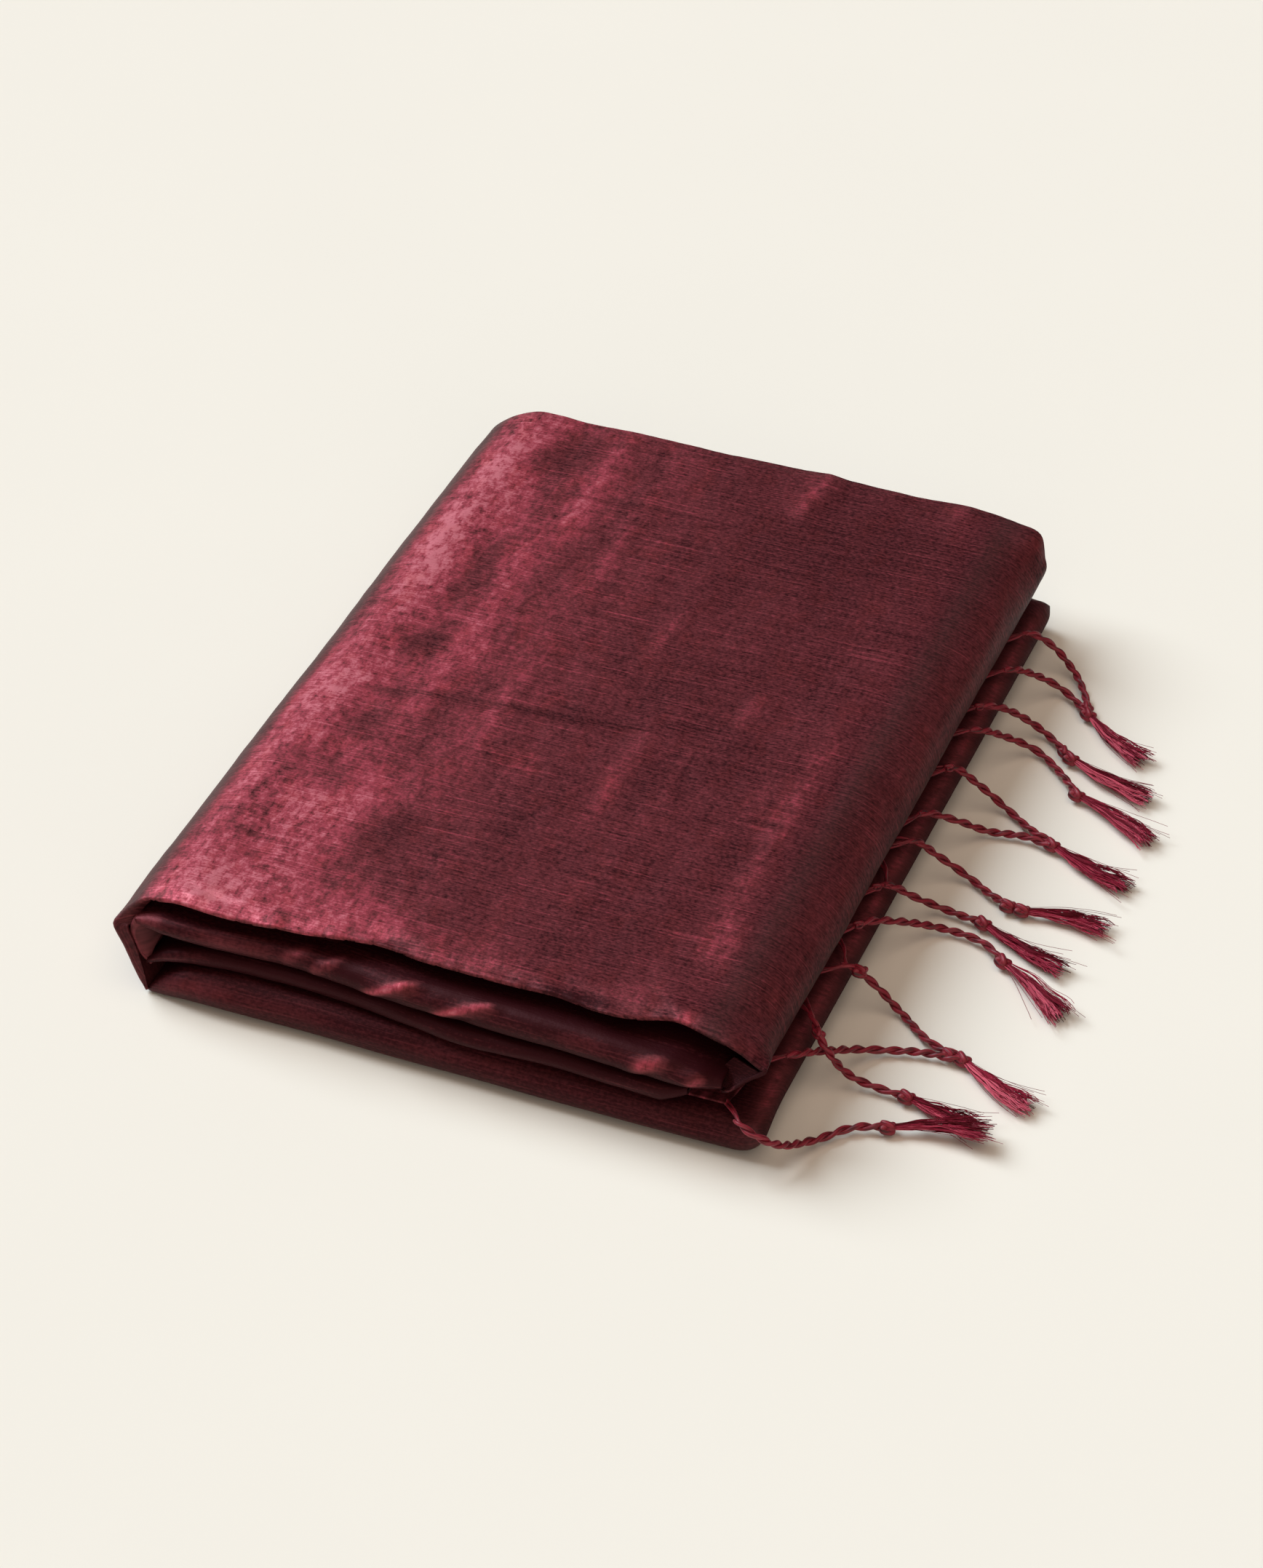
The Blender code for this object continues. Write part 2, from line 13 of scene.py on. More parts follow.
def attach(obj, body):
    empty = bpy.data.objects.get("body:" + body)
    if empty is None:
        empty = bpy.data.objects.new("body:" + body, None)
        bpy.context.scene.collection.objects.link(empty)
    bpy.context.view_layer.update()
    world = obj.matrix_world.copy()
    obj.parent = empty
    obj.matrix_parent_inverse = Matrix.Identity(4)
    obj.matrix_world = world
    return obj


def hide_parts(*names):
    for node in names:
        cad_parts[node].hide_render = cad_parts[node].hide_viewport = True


bl_info = {
    "name": "Folded Saree",
    "version": (1, 0, 0),
    "blender": (4, 5, 0),
    "location": "View3D > Sidebar > Saree",
    "description": "Makes the cloth, the fringe and the stage of a folded silk saree",
    "category": "Add Mesh",
}

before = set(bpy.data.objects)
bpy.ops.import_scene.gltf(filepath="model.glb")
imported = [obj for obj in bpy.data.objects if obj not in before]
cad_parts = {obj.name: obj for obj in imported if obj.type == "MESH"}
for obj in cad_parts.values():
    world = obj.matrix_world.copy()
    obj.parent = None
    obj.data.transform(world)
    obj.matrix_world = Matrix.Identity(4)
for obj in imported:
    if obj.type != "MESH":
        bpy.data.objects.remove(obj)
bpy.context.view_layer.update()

MM = 0.001
GOLDEN_TURN = math.pi * (3.0 - math.sqrt(5.0))
SILK_SLOT = "shot_silk"
FRINGE_SLOT = "fringe_silk"
BODY = "root"

# The camera looks at a point inside the packet from the near right, as the photograph does. The
# distances are metres.
VIEW_TARGET = (0.008175, -0.0113, 0.020)
VIEW_DISTANCE = 1.79727
VIEW_ELEVATION = math.radians(38.3767)
VIEW_AZIMUTH = math.radians(21.993)
VIEW_CLIP_END = 20.0
LENS_MM = 100.478
SENSOR_MM = 36.0

# Each light: the direction that it comes from, how many degrees it spreads over, its strength and
# its colour. The room's own light comes from everywhere.
LIGHTS = {
    "window": ((-0.722, 0.128, 0.68), 38.0, 3.545, "#ecf7ff"),
    "ceiling": ((0.16, -0.14, 0.977), 60.0, 0.85, "#ffe3cd"),
    "room": ((0.35, -0.85, 0.39), 60.0, 0.75, "#ffeedd"),
}
ROOM_STRENGTH = 0.06

# The table top's half side and its height, a little below the packet
TABLE_HALF = 4000.0
TABLE_Z = -0.2

# The silk's unevenness. Each pattern: its blots' length along the threads and width across them,
# its detail, its roughness and where it starts.
SILK_PATTERNS = {
    "grain": (1.9, 1.1, 1.0, 0.6, 3.0),
    "mottle": (4.2, 6.0, 3.0, 0.66, 11.0),
    "fleck": (1.5, 4.0, 2.0, 0.55, 23.0),
    "cloud": (20.0, 50.0, 3.0, 0.55, 19.0),
    "line": (55.0, 0.8, 1.0, 0.5, 31.0),
    "warm": (11.0, 19.0, 3.0, 0.6, 41.0),
}
# The patterns that leave marks: from and up to which value of the pattern, and the mark's strength
SILK_MARKS = {"fleck": (0.56, 0.70, -0.28), "line": (0.62, 0.78, 0.26), "warm": (0.5, 0.74, 0.34)}

# A thickened cloth's cut edge is rounded by this share of its wall, where it turns by this angle
EDGE_SHARE = 0.35
EDGE_ANGLE = math.radians(55.0)

# The steps of a turned-in edge, from its free edge to the cloth: the share of its depth and of
# its run back, and how much of the edge's radius is added to each
HEM_STEPS = ((1.0, 1.0, 0.0, 0.0), (0.6, 0.5, 0.0, 0.0), (0.25, 0.12, 0.0, 0.0),
             (0.0, 0.0, 1.0, 0.1), (0.0, 0.0, 0.3, 0.35), (0.0, 0.0, 0.0, 1.0))
HEM_RADIUS = 0.8

# Steps in each stretch of a curve before it is spaced evenly, and how much closer a cloth's rows
# lie towards its ends
FINE_STEPS = 40
END_POWER = 1.35

# The packet: half its length, its length in metres, and how far from its middle the legs of a fold
# end inside it
HALF_LENGTH = 185.0
PACKET_LENGTH = 2.0 * HALF_LENGTH * MM
LEG_END = 152.0

# The cover, as places on its section from the foot of the left side, over the top and down round
# the right roll. near_y and far_y are where its ends stop there, the near and far shifts draw the
# ends into their pinched corners, and turn_in is how far the near edge is turned in.
COVER_COLUMNS = ("x", "z", "near_y", "far_y", "near_dx", "near_dz", "far_dx", "far_dz", "turn_in")
COVER = {
    "foot": (-129.4, 1.4, -181.9, 184, 0, 0, 0, 0, 0.6),
    "low": (-131.9, 9, -182.6, 184, 0, 0, 0, 0, 2.8),
    "flank": (-136.8, 21, -182.4, 184.5, 0.2, 0, 0.2, 0, 4.9),
    "corner": (-140.8, 30.6, -181, 185, -0.6, 1, 0.6, 0, 6),
    "corner_top": (-140.2, 33.4, -180, 185.4, 0.2, -0.2, 0.4, 0, 5.4),
    "bevel": (-137, 38.4, -177.6, 186, 0.4, -1.2, 0.2, 0, 4.6),
    "shoulder": (-131, 43.4, -175, 188, 0.6, -0.4, 0, 0, 2.8),
    "edge": (-121, 46.8, -176, 190.6, 0, -0.2, 0, 0, 2),
    "top_left": (-92, 48.2, -177.4, 190.4, 0, -0.4, 0, 0, 1.5),
    "top_low": (-62, 48.8, -176, 190.2, 0, 0, 0, 0, 1.5),
    "wave_in": (-28, 49.2, -172.2, 189, 0, 0.4, 0, 0, 1.7),
    "wave_out": (-12, 49.3, -173.9, 189.4, 0, 0, 0, 0, 1.7),
    "top_mid": (14, 49.4, -174.4, 190.2, 0, 0, 0, 0, 1.5),
    "top_right": (46, 49.5, -174.2, 189, 0, 0, 0, 0, 1.5),
    "wave_low": (68, 49.6, -176, 188.6, 0, -0.3, 0, 0, 1.4),
    "crumple": (92, 49.7, -171.6, 189, 0, 1.1, 0, 0, 1.6),
    "roll_start": (108, 48.9, -174.6, 186, 0, 0.7, 0.4, 0.8, 1.4),
    "roll_high": (117.8, 45, -175.4, 183, 1.8, 1.3, 2.6, 3.2, 1.6),
    "roll_side": (123.2, 39, -176, 178.6, 3.9, 2.4, 0.5, 1.6, 1),
    "crest": (124.5, 32.6, -176.6, 176.2, 3.9, 7.2, 0.9, 3.4, 0.5),
    "roll_low": (121.6, 26.8, -177.2, 176.4, -0.1, 6.6, 1, 1, 1),
    "under": (114, 23.8, -177.8, 175, -0.7, 2, 3, -1.4, 1),
    "tuck": (101, 22.8, -158, 168, 0, 0, 0, 0, 0.6),
}
# Its samples round the section, along the packet and in each turned-in edge
COVER_GRID = dict(columns=214, rows=178, hem_rows=12)
# The run over which its ends are pinched, the rise of its middle, from which height it counts as
# the top and how softly that starts
COVER_PINCH = 15.0
COVER_CROWN = 0.5
CROWN_ABOVE_Z = 40.0
CROWN_SOFT = 1.5
# How far the top's ends droop, over which run, and the far end's share of it
LIP_DROOP = 1.1
LIP_RUN = 4.2
FAR_LIP = 0.8
# How far back the near free edge lies, on the sides and how much more on the top
NEAR_TURN_BACK = 0.6
NEAR_TURN_BACK_TOP = 2.6
# How far the far edge is turned in, and how far back its free edge lies
FAR_TURN_IN = 2.4
# The run over which the near edge's waves fade along the packet
EDGE_WAVE_RUN = 7.0
# The seed and the length of the near edge's broad and fine waves
COVER_EDGE_WAVES = ((12, 26), (13, 9))
# The cover's slow unevenness: its height, its seed, and its lengths across and along the packet
COVER_UNEVEN = ((0.28, 3, 34, 120), (0.10, 5, 11, 30), (0.05, 8, 5.5, 14))

# Soft ridges (positive) and troughs (negative) of the cover. p runs across the packet on the cloth
# itself and is x on the flat top, so that the left side is below -134 and the roll above 108. Each
# row: p and y of its start, p and y of its end, its half width and its height.
COVER_RIDGES = (
    (-121, -176, -120, -60, 6, 0.45),
    (-120, -30, -122, 70, 5.5, 0.5),
    (-118, 70, -119, 190, 6.5, 0.6),
    (-104, -172, -101, -110, 4.5, -0.35),
    (-98, -70, -101, 10, 6, -0.4),
    (-94, 30, -97, 100, 5, -0.35),
    (-96, 120, -93, 188, 7, -0.4),
    (-86, -165, -89, -120, 4, 0.25),
    (-78, -35, -76, 40, 5, 0.4),
    (-80, 45, -78, 100, 4.5, 0.35),
    (-70, 95, -70, 190, 5, 0.36),
    (-60, -120, -63, -60, 6, -0.3),
    (-58, -175, -56, -140, 6, 0.35),
    (-47, -45, -45, 30, 4.5, 0.25),
    (-44, 60, -46, 150, 4.5, 0.25),
    (-30, -20, -27, 90, 9, -0.3),
    (-14, -165, -10, -100, 9, 0.3),
    (-3, 25, 0, 95, 5, 0.2),
    (15, -75, 16, -8, 5, 0.22),
    (22, 148, 22, 192, 5, 0.55),
    (35, -70, 36, -18, 4.5, 0.2),
    (38, 160, 40, 190, 8, -0.3),
    (50, -160, 47, -110, 10, -0.35),
    (49, 0, 50, 28, 4, 0.25),
    (62, 40, 64, 130, 12, -0.25),
    (86, 160, 85, 190, 5, 0.45),
    (88, -90, 87, 25, 4, 0.25),
    (93, -132, 94, -108, 6, 0.35),
    (99, -100, 101, 60, 6, -0.35),
    (-112, -31, -60, -22, 1.6, -0.4),
    (-60, -22, 0, -15, 1.7, -0.3),
    (0, -15, 52, 1, 1.9, -0.2),
    (-104, -36.5, -60, -27, 3, 0.35),
    (-60, -27, 4, -20, 3.2, 0.22),
    (-98, 131, -20, 137, 1.8, -0.22),
    (-98, 126, -30, 132, 3, 0.16),
    (-112, -168, -94, -172, 2.6, -0.5),
    (-42, -166, -22, -171, 2.6, -0.6),
    (-30, -160, -14, -166, 3, 0.5),
    (6, -168, 24, -171, 2.4, -0.35),
    (40, -167, 62, -171, 2.8, -0.5),
    (84, -164, 96, -170, 3.4, 0.5),
    (76, -160, 86, -168, 2.6, -0.5),
    (-110, 181, -88, 184, 3, -0.4),
    (-60, 182, -36, 184, 3, -0.4),
    (-8, 183, 12, 180, 2.8, 0.4),
    (58, 181, 76, 184, 3, -0.4),
    (-152, -170, -150, 20, 4, -0.5),
    (-158, -60, -160, 130, 4.5, 0.5),
    (-167, -150, -166, -10, 3.5, 0.4),
    (-168, 30, -165, 175, 4, -0.45),
    (-146, 60, -147, 180, 3.5, 0.4),
    (118, -160, 119, -30, 5, -0.35),
    (126, -20, 124, 120, 5, 0.35),
    (137, -150, 136, -40, 4, 0.35),
    (139, 20, 141, 150, 4.5, -0.4),
    (128, 120, 122, 176, 5, -0.4),
    (112, -166, 122, -150, 3, -0.5),
    (120, -172, 129, -154, 2.6, 0.4),
)

# Where the cover catches the light: painted streaks of sheen (positive) and of painted shade (negative),
# in rows like the ridges' with their strength for the height
COVER_SHEEN = (
    (-121, -176, -120, -110, 8, 0.12),
    (-121, -100, -122, -20, 8, 0.2),
    (-120, -20, -121, 60, 8, 0.14),
    (-118, 50, -118, 190, 9.5, 0.26),
    (-119, 88, -120, 112, 5, 0.3),
    (-119, 130, -120, 150, 5, 0.25),
    (-104, 92, -100, 140, 7, 0.22),
    (-108, 20, -106, 84, 7, 0.15),
    (-112, -40, -106, -10, 6, 0.2),
    (-118, -176, -70, -158, 16, 0.27),
    (-96, -150, -84, -70, 20, 0.16),
    (-108, -120, -104, -60, 12, 0.14),
    (-84, -136, -74, -96, 9, 0.2),
    (-100, -128, -90, -100, 9, 0.15),
    (-80, -38, -77, 60, 6, 0.2),
    (-80, 50, -80, 98, 5, 0.2),
    (-71, 106, -70, 184, 6, 0.15),
    (-72, 112, -72, 130, 5.5, 0.18),
    (-70, 2, -69, 18, 6, 0.2),
    (-62, -96, -58, -72, 8, 0.14),
    (-60, -176, -44, -150, 10, 0.3),
    (-38, -174, -28, -158, 8, 0.28),
    (-47, -45, -46, 25, 4.5, 0.16),
    (-44, 56, -46, 150, 4, 0.15),
    (-22, -170, 30, -164, 12, 0.16),
    (-26, -70, -22, -40, 5, 0.1),
    (-3, 28, 0, 66, 4.5, 0.15),
    (15, -80, 16, -10, 5, 0.15),
    (19, 154, 21, 190, 4.5, 0.26),
    (35, -66, 36, -20, 4, 0.13),
    (49, 4, 50, 24, 4, 0.18),
    (52, -50, 52, -30, 4, 0.1),
    (72, -50, 74, -30, 4, 0.14),
    (85, 172, 85, 190, 4.5, 0.16),
    (87, -62, 87, 14, 4.8, 0.18),
    (86, -110, 87, -66, 5, 0.16),
    (92, -136, 93, -112, 8, 0.3),
    (91, -172, 98, -170, 3.4, 0.5),
    (60, -168, 80, -164, 8, 0.12),
    (10, 130, 90, 150, 34, -0.08),
    (-112, -76, -88, -86, 12, -0.32),
    (-98, -56, -90, -40, 9, -0.25),
    (-102, 8, -88, 16, 8, -0.3),
    (-96, 40, -94, 90, 6, -0.25),
    (-102, 150, -84, 172, 11, -0.3),
    (-60, -120, -50, -100, 13, -0.2),
    (-64, 60, -60, 100, 5, -0.12),
    (-112, -28, -62, -20, 2.2, -0.35),
    (-62, -20, 6, -13, 2.2, -0.22),
    (6, -13, 50, 1, 2.4, -0.12),
    (-98, 131, -20, 137, 2, -0.16),
    (-40, -174, -18, -171, 3, -0.35),
    (38, -175, 66, -172, 3.4, -0.3),
    (-126, -176, -117, -173, 4, -0.34),
    (-112, -176, -92, -175, 2.6, -0.3),
    (-118, -136, -116, -96, 2.4, -0.18),
    (-107, -150, -106, -90, 2.2, -0.18),
    (-97, -146, -97, -104, 2, -0.14),
)

# The painted sheen (positive) and painted shade (negative) across the cover, at places across it
SHEEN_ACROSS = (
    (-176, 0.06), (-146, 0), (-137, -0.16), (-132, 0.1), (-127, 0.38), (-118, 0.47),
    (-104, 0.41), (-84, 0.27), (-62, 0.2), (-42, 0.12), (-20, 0.05), (40, 0),
    (90, 0.01), (99, -0.05), (106, -0.09), (114, -0.04), (120, 0.08), (128, -0.06),
    (134, -0.24), (146, -0.24), (160, -0.05),
)
# The share of grey painted where the cloth turns away, partly the weft's grey and partly a painted
# grazing reflection, at places across it
GREY_ACROSS = (
    (-176, 0.1), (-144, 0.2), (-138.5, 0.42), (-134, 0.36), (-129.5, 0), (98, 0),
    (106, 0.2), (114, 0.05), (124, 0), (160, 0),
)
# How much the threads stand out, at places across the cover
WEAVE_ACROSS = ((-146, 0.5), (-128, 0.95), (-100, 1), (94, 1), (106, 0.8), (160, 0.82))
# The painted shade of the turned-in edges, at places across the cover, and their grey, partly the weft's
# and partly a painted grazing reflection
HEM_SHEEN = ((86, -0.1), (104, -0.34))
HEM_GREY = 0.08
# The painted light on the cover's near left part: its strength, its middle and half width across the
# packet, and from where and over which length it fades along it
NEAR_GLOW = dict(sheen=0.10, p=-75, half_width=60, y=-178, run=40)

# How much the threads stand out on the other pieces, and the sheen of their plain cloth, painted as
# light where positive and as shade where negative
PLAIN_WEAVE = dict(tuck=0.6, fold=0.4, base=0.42, spine=0.5, border=0.7)
PLAIN_SHEEN = dict(tuck=-0.2, base=-0.18, spine=0.2, layers=-0.18, border=0.06)

# The tuck that closes the roll's near end: a facet from the roll's lower edge, between its two
# ends, to a curved line inside. Then how deep it is hollowed, its length along the edge and inwards,
# and its grey.
TUCK_EDGE = ((127.6, -176, 38.2), (113.6, -176.9, 25.9))
TUCK_INSIDE = ((114.2, -170, 37.6), (104.8, -170.8, 27.2), (112.4, -176.4, 25))
TUCK_HOLLOW = 1.0
TUCK_LENGTH = 16.5
TUCK_THREADS = dict(along=20.0, inwards=16.0)
TUCK_GREY = 0.06

# Each inner fold is a rounded nose between two sheets, at the near (-1) or the far (1) side. A row
# for each place along X gives that place, how far its nose lies in from the packet's end, the
# underside of its lower sheet and the top of its upper one.
FOLDS = {
    "upper_fold": dict(side=-1, rows=(
        (-132.8, 4.6, 32.2, 35.4), (-127, 4.2, 30.8, 36.8), (-119, 3.6, 29.6, 37.4),
        (-110, 3.4, 28.4, 37.8), (-92, 4.6, 27.4, 38), (-69, 6.1, 27.4, 38.2),
        (-46, 4.2, 27.4, 39), (-22, 1.4, 27.4, 40.2), (14, 0.7, 27.4, 40.6),
        (46, -0.4, 27.4, 40.8), (68, -1.2, 27.4, 40.6), (92, -1.5, 27.4, 39.6),
        (101, -0.6, 27.6, 37), (108, 2.2, 27.8, 34.6), (112.6, 4.4, 28, 32.8))),
    "lower_fold": dict(side=-1, rows=(
        (-128.4, 3.8, 13.8, 16.8), (-119, 3.8, 16.4, 23), (-107, 4.5, 17.9, 26.2),
        (-85, 6, 17.9, 27), (-51, 5.7, 17.9, 27), (-14, 2, 17.9, 27),
        (10, -0.5, 17.9, 27), (46, 0.5, 17.9, 27), (68, -0.4, 17.9, 27),
        (88, -1, 17.9, 27), (95, 0.4, 20.6, 27), (99.5, 2.4, 22.6, 27))),
    "far_upper_fold": dict(side=1, rows=(
        (-132.6, 6.5, 29.2, 32.8), (-118, 4.4, 28, 38.4), (-100, 3.6, 27.4, 41),
        (-40, 5, 27.4, 41), (10, 2.6, 27.4, 41), (60, 4.4, 27.4, 41),
        (96, 3.2, 27.4, 40.4), (112.6, 6.4, 28, 32.8))),
    "far_lower_fold": dict(side=1, rows=(
        (-127.2, 4.6, 14.2, 18.4), (-110, 3.4, 17.9, 25.8), (-80, 2.4, 17.9, 27),
        (-20, 4.4, 17.9, 27), (40, 2.2, 17.9, 27), (86, 3.2, 17.9, 27),
        (94, 4.4, 20, 27), (99.5, 5.4, 22.6, 27))),
}
# A nose's reach in shares of half its height, its most, and the wall that the sections stand for
NOSE_REACH = 1.1
NOSE_REACH_MOST = 9.0
SOLID_WALL = 1.6
# The samples along a fold, round its nose and along each of its legs
FOLD_GRID = dict(columns=210, steps=41, legs=7)
# A fold's unevenness: its height and its lengths along and round the fold. It and the crumples
# fade at this distance from the nose's front, and over these runs at the fold's two ends.
FOLD_UNEVEN = ((0.22, 40, 16), (0.08, 12, 7))
FOLD_FADE = 11.0
FOLD_END_RUNS = (12.0, 10.0)
# The grey under a nose, partly the weft's and partly a painted grazing reflection: its share, its middle
# and its half width round the nose
FOLD_GREY = dict(grey=0.25, s=-7.0, half_width=4.0)
# Ridges and troughs of the folds: x0, s0 to x1, s1, where s runs round the nose, upwards from its
# front. The slanting ridges are the crumples that catch the light.
FOLD_RIDGES = {
    "upper_fold": (
        (-68, -1, -54, 8, 2.8, 0.55), (-56, -1, -44, 8, 2.6, 0.8),
        (-61, 0, -50, 9, 2.2, -0.45), (-34, -2, -12, 7, 2.4, 1.1),
        (-26, -4, -6, 5, 2.2, -0.7), (-3, -2, 20, 7, 2.4, 1.1),
        (5, -5, 25, 4.5, 2.2, -0.7), (40, -2, 60, 4, 3.6, -0.35),
        (76, -2, 92, 7, 3, 1), (83, -4, 98, 4.5, 2.6, -0.8),
        (97, -1, 107, 5, 2.6, 0.8), (-126, 3, -84, 6, 2.4, 0.45),
        (-118, -3, -70, -2, 2.6, -0.4), (-104, 7, -72, 9, 2.6, -0.35),
        (20, 6, 74, 7.5, 3, 0.3)),
    "lower_fold": (
        (-120, 1, -60, 2, 2, 0.3), (-70, -3, -20, 0.5, 2.4, -0.4),
        (-44, 1, -24, 5, 2.6, 0.4), (-6, -2, 40, 1.5, 2.2, 0.35),
        (8, -4, 70, -2, 2, -0.35), (50, 0, 84, 3, 2.4, 0.4),
        (70, -3.5, 94, 1, 2.2, -0.45)),
    "far_upper_fold": (
        (-90, -3, -70, 6, 2.6, 0.8), (-84, -4, -66, 4, 2.4, -0.5),
        (-30, -2, -4, 7, 2.6, 0.8), (26, -2.5, 40, 6, 2.6, 0.8),
        (66, -3, 90, 4, 3, -0.5), (84, -1, 96, 6, 2.8, 0.6)),
    "far_lower_fold": (
        (-100, 1, -40, 2, 2, 0.35), (-60, -3, -10, 0, 2.2, -0.4),
        (0, -2, 44, 2, 2.4, 0.4), (40, -4, 84, -1, 2.2, -0.4)),
}
# Painted glints (positive) and painted shade (negative) on the folds, in rows like the ridges'
FOLD_SHEEN = {
    "upper_fold": (
        (-133, 1.6, -122, 2.6, 2, 0.34), (-104, 1.5, -76, 1, 2.6, 0.2),
        (-69, 1, -60, 7, 2.2, 0.32), (-56, 0, -45, 7, 1.8, 0.45),
        (-34, -2.2, -14, 6.6, 1.3, 0.75), (-24, 2, -12, 6, 2.8, 0.2),
        (-4, -2.4, 18, 6.6, 1.3, 0.75), (8, 2, 20, 6, 2.6, 0.2),
        (50, 4, 66, 6, 5, 0.1), (80, 0, 90, 5, 2.6, 0.62),
        (101, -0.6, 106, 2, 1.8, 0.5), (-44, -4, 110, -4, 3, -0.12),
        (-12, 10, 110, 9, 3.6, -0.2), (-46, 6, -36, 3, 4, -0.14),
        (106, 5, 113, 4, 4, -0.2)),
    "lower_fold": (
        (-124, 0, -100, 2, 2.6, 0.16), (-20, 1, 40, 2, 2.6, 0.08),
        (60, -1, 90, 1, 3, 0.12)),
    "far_upper_fold": (
        (-88, 0, -72, 5, 2.6, 0.6), (-28, 0, -8, 5, 2.4, 0.6),
        (28, 0, 38, 5, 2.4, 0.5)),
    "far_lower_fold": (),
}
# The painted shade all over each fold
FOLD_BASE_SHEEN = dict(upper_fold=-0.18, lower_fold=-0.3, far_upper_fold=-0.14,
                       far_lower_fold=-0.24)

# Farther than this from its nose's front, a fold lies hidden in the gap under the sheet above, and is
# painted in this shade after this run
FOLD_HIDDEN_FROM = dict(upper_fold=16, lower_fold=7.5, far_upper_fold=14, far_lower_fold=7.5)
HIDDEN_SHEEN = -0.42
HIDDEN_RUN = 5.0

# The lowest fold is a flat bag, open at the left. Its right end narrows to a crest above the table.
# It has the folds' columns. The distances round its far side are stored with FAR_SIDE added.
BASE = (
    (-128.6, 3.4, 0.1, 2.2), (-126.2, 2.2, 0, 5.4), (-119, 0.2, 0, 11.8), (-110, -0.8, 0, 16.6),
    (-96, -1, 0, 17.5), (-60, -0.6, 0, 17.5), (-20, -1.2, 0, 17.5),
    (20, -1, 0, 17.5), (60, -1.2, 0, 17.5), (94.6, -1, 0, 17.5),
    (108, -0.8, 0, 17.4), (117, -0.4, 0, 16.7), (121.6, 0, 1.2, 15.8),
    (125.6, 0.6, 5, 14.6), (127.6, 1.4, 8.6, 13.2),
)
FAR_SIDE = 1000.0
BASE_GRID = dict(columns=190, steps=25, legs=14)
BASE_CREST = dict(x=128.7, z=11.2, half_y=183)
# How far its right end flares near and is cut back far, over which runs, and from which X
BASE_CORNER = dict(flare=1.8, run=16, from_x=100, over=28, far_cut=2.6, far_run=7)
# Its unevenness, and where that and its ridges fade: a place and a run along Z, then along X
BASE_UNEVEN = ((0.22, 61, 46, 18),)
BASE_FADE_Z = (2.0, 3.0)
BASE_FADES_X = ((128.0, -10.0), (-126.0, 10.0))
# Its grey under its nose, and towards its right end, at places along X: partly the weft's grey and
# partly a painted grazing reflection
BASE_NOSE_GREY = dict(grey=0.2, s=-9.0, half_width=4.0)
BASE_GREY = ((112, 0), (122, 0.05), (129, 0.25))
# The run of its threads between its two open edges
BASE_OPEN_RUN = 60.0
# Its ridges and troughs and its streaks of sheen, in rows like the folds'
BASE_RIDGES = (
    (-120, 1, -70, 3, 2.4, 0.5), (-90, -2, 10, -1, 2.6, -0.3),
    (-40, 3, 60, 2, 2.6, 0.35), (20, -3, 110, -2, 2.4, 0.35),
    (70, 2, 118, 4, 2.6, -0.35),
)
BASE_SHEEN = (
    (-122, 2, -92, 4, 3.4, 0.2), (-92, 3, -50, 4, 3, 0.08),
    (-10, 4, 40, 5, 2.6, 0.08), (126.4, 7, 123.6, 48, 2.4, 0.36),
    (121.6, 10, 121.6, 150, 4, 0.14), (123, 90, 122.4, 150, 2.2, 0.1),
    (122, 220, 122, 330, 2.2, 0.08),
)

# The inner left side joins the upper and the lower fold. Its columns mean what the cover's mean.
SPINE_COLUMNS = ("x", "z", "near_y", "far_y", "turn_in")
SPINE = {
    "foot": (-127.9, 13.8, -179.4, 179.5, 0.3),
    "low": (-130.2, 17.2, -180.4, 180, 2.6),
    "flank": (-133.2, 23.4, -180.6, 179.5, 7.6),
    "corner": (-134.6, 30.4, -180.2, 179, 11.6),
    "head": (-133, 34.6, -180, 178, 1.6),
}
SPINE_GRID = dict(columns=40, rows=150, hem_rows=18)
# How far back its free edge lies in shares of how far it is turned in, and its unevenness
SPINE_TURN_BACK = 0.9
SPINE_UNEVEN = ((0.3, 71, 20, 60),)
# Its painted shade for each millimetre turned in, darker into the facet's recess, and its grey on the
# cloth and more on the facet, which starts over this run, partly the weft's and partly a painted grazing
# reflection
SPINE_SHADE = 0.05
SPINE_GREY = 0.1
FACET_GREY = 0.1
FACET_RUN = 1.5

# The hidden layers, as groups of thin sheets: each group's box, from and to along X, Y and Z, and
# how many sheets it has
LAYERS = {
    "base": (-104, 108, -174, 174, 2.2, 15.4, 12),
    "base_middle": (-103, 94, -149, 149, 15.9, 21.6, 5),
    "lower": (-82, 80, -168, 170, 20.2, 24.8, 5),
    "lower_middle": (-120, 97, -149, 149, 25.2, 30, 5),
    "upper": (-90, 86, -168, 169, 29.8, 38.6, 9),
    "upper_middle": (-124, 117, -149, 149, 30.6, 41, 9),
    "crown": (-112, 106, -158, 172, 41.6, 46.8, 6),
}
# A sheet's thickness, the radius of its corners, the points round it, and the seed of its pulls
LAYER_THICK = 0.55
LAYER_CORNER = 9.0
LAYER_POINTS = 160
LAYER_SEED = 90
# The rings of a sheet, from its underside to its top: their size, and the share of its thickness
LAYER_RINGS = ((0.997, 0), (1, 0.3), (1, 0.7), (0.997, 1))

# The edge of the tasselled end, where it shows under the roll. Its near end runs out to the left
# in a tongue: how far, how far its edge draws back there, over which run, and how far it drops.
BORDER = dict(x0=101.6, x1=116.6, y0=-176, y1=178.5, z=18.6)
TONGUE = dict(out=11.0, back=3.0, run=7.0, drop=0.6)
BORDER_GRID = dict(columns=20, rows=260)
# The waves of its edge, its lift and its painted sheen: their height, their seed and their lengths
BORDER_EDGE_WAVES = ((0.7, 33, 22, 10),)
BORDER_LIFT = ((0.35, 34, 26, 10),)
BORDER_GLEAM = ((0.3, 35, 14, 6),)
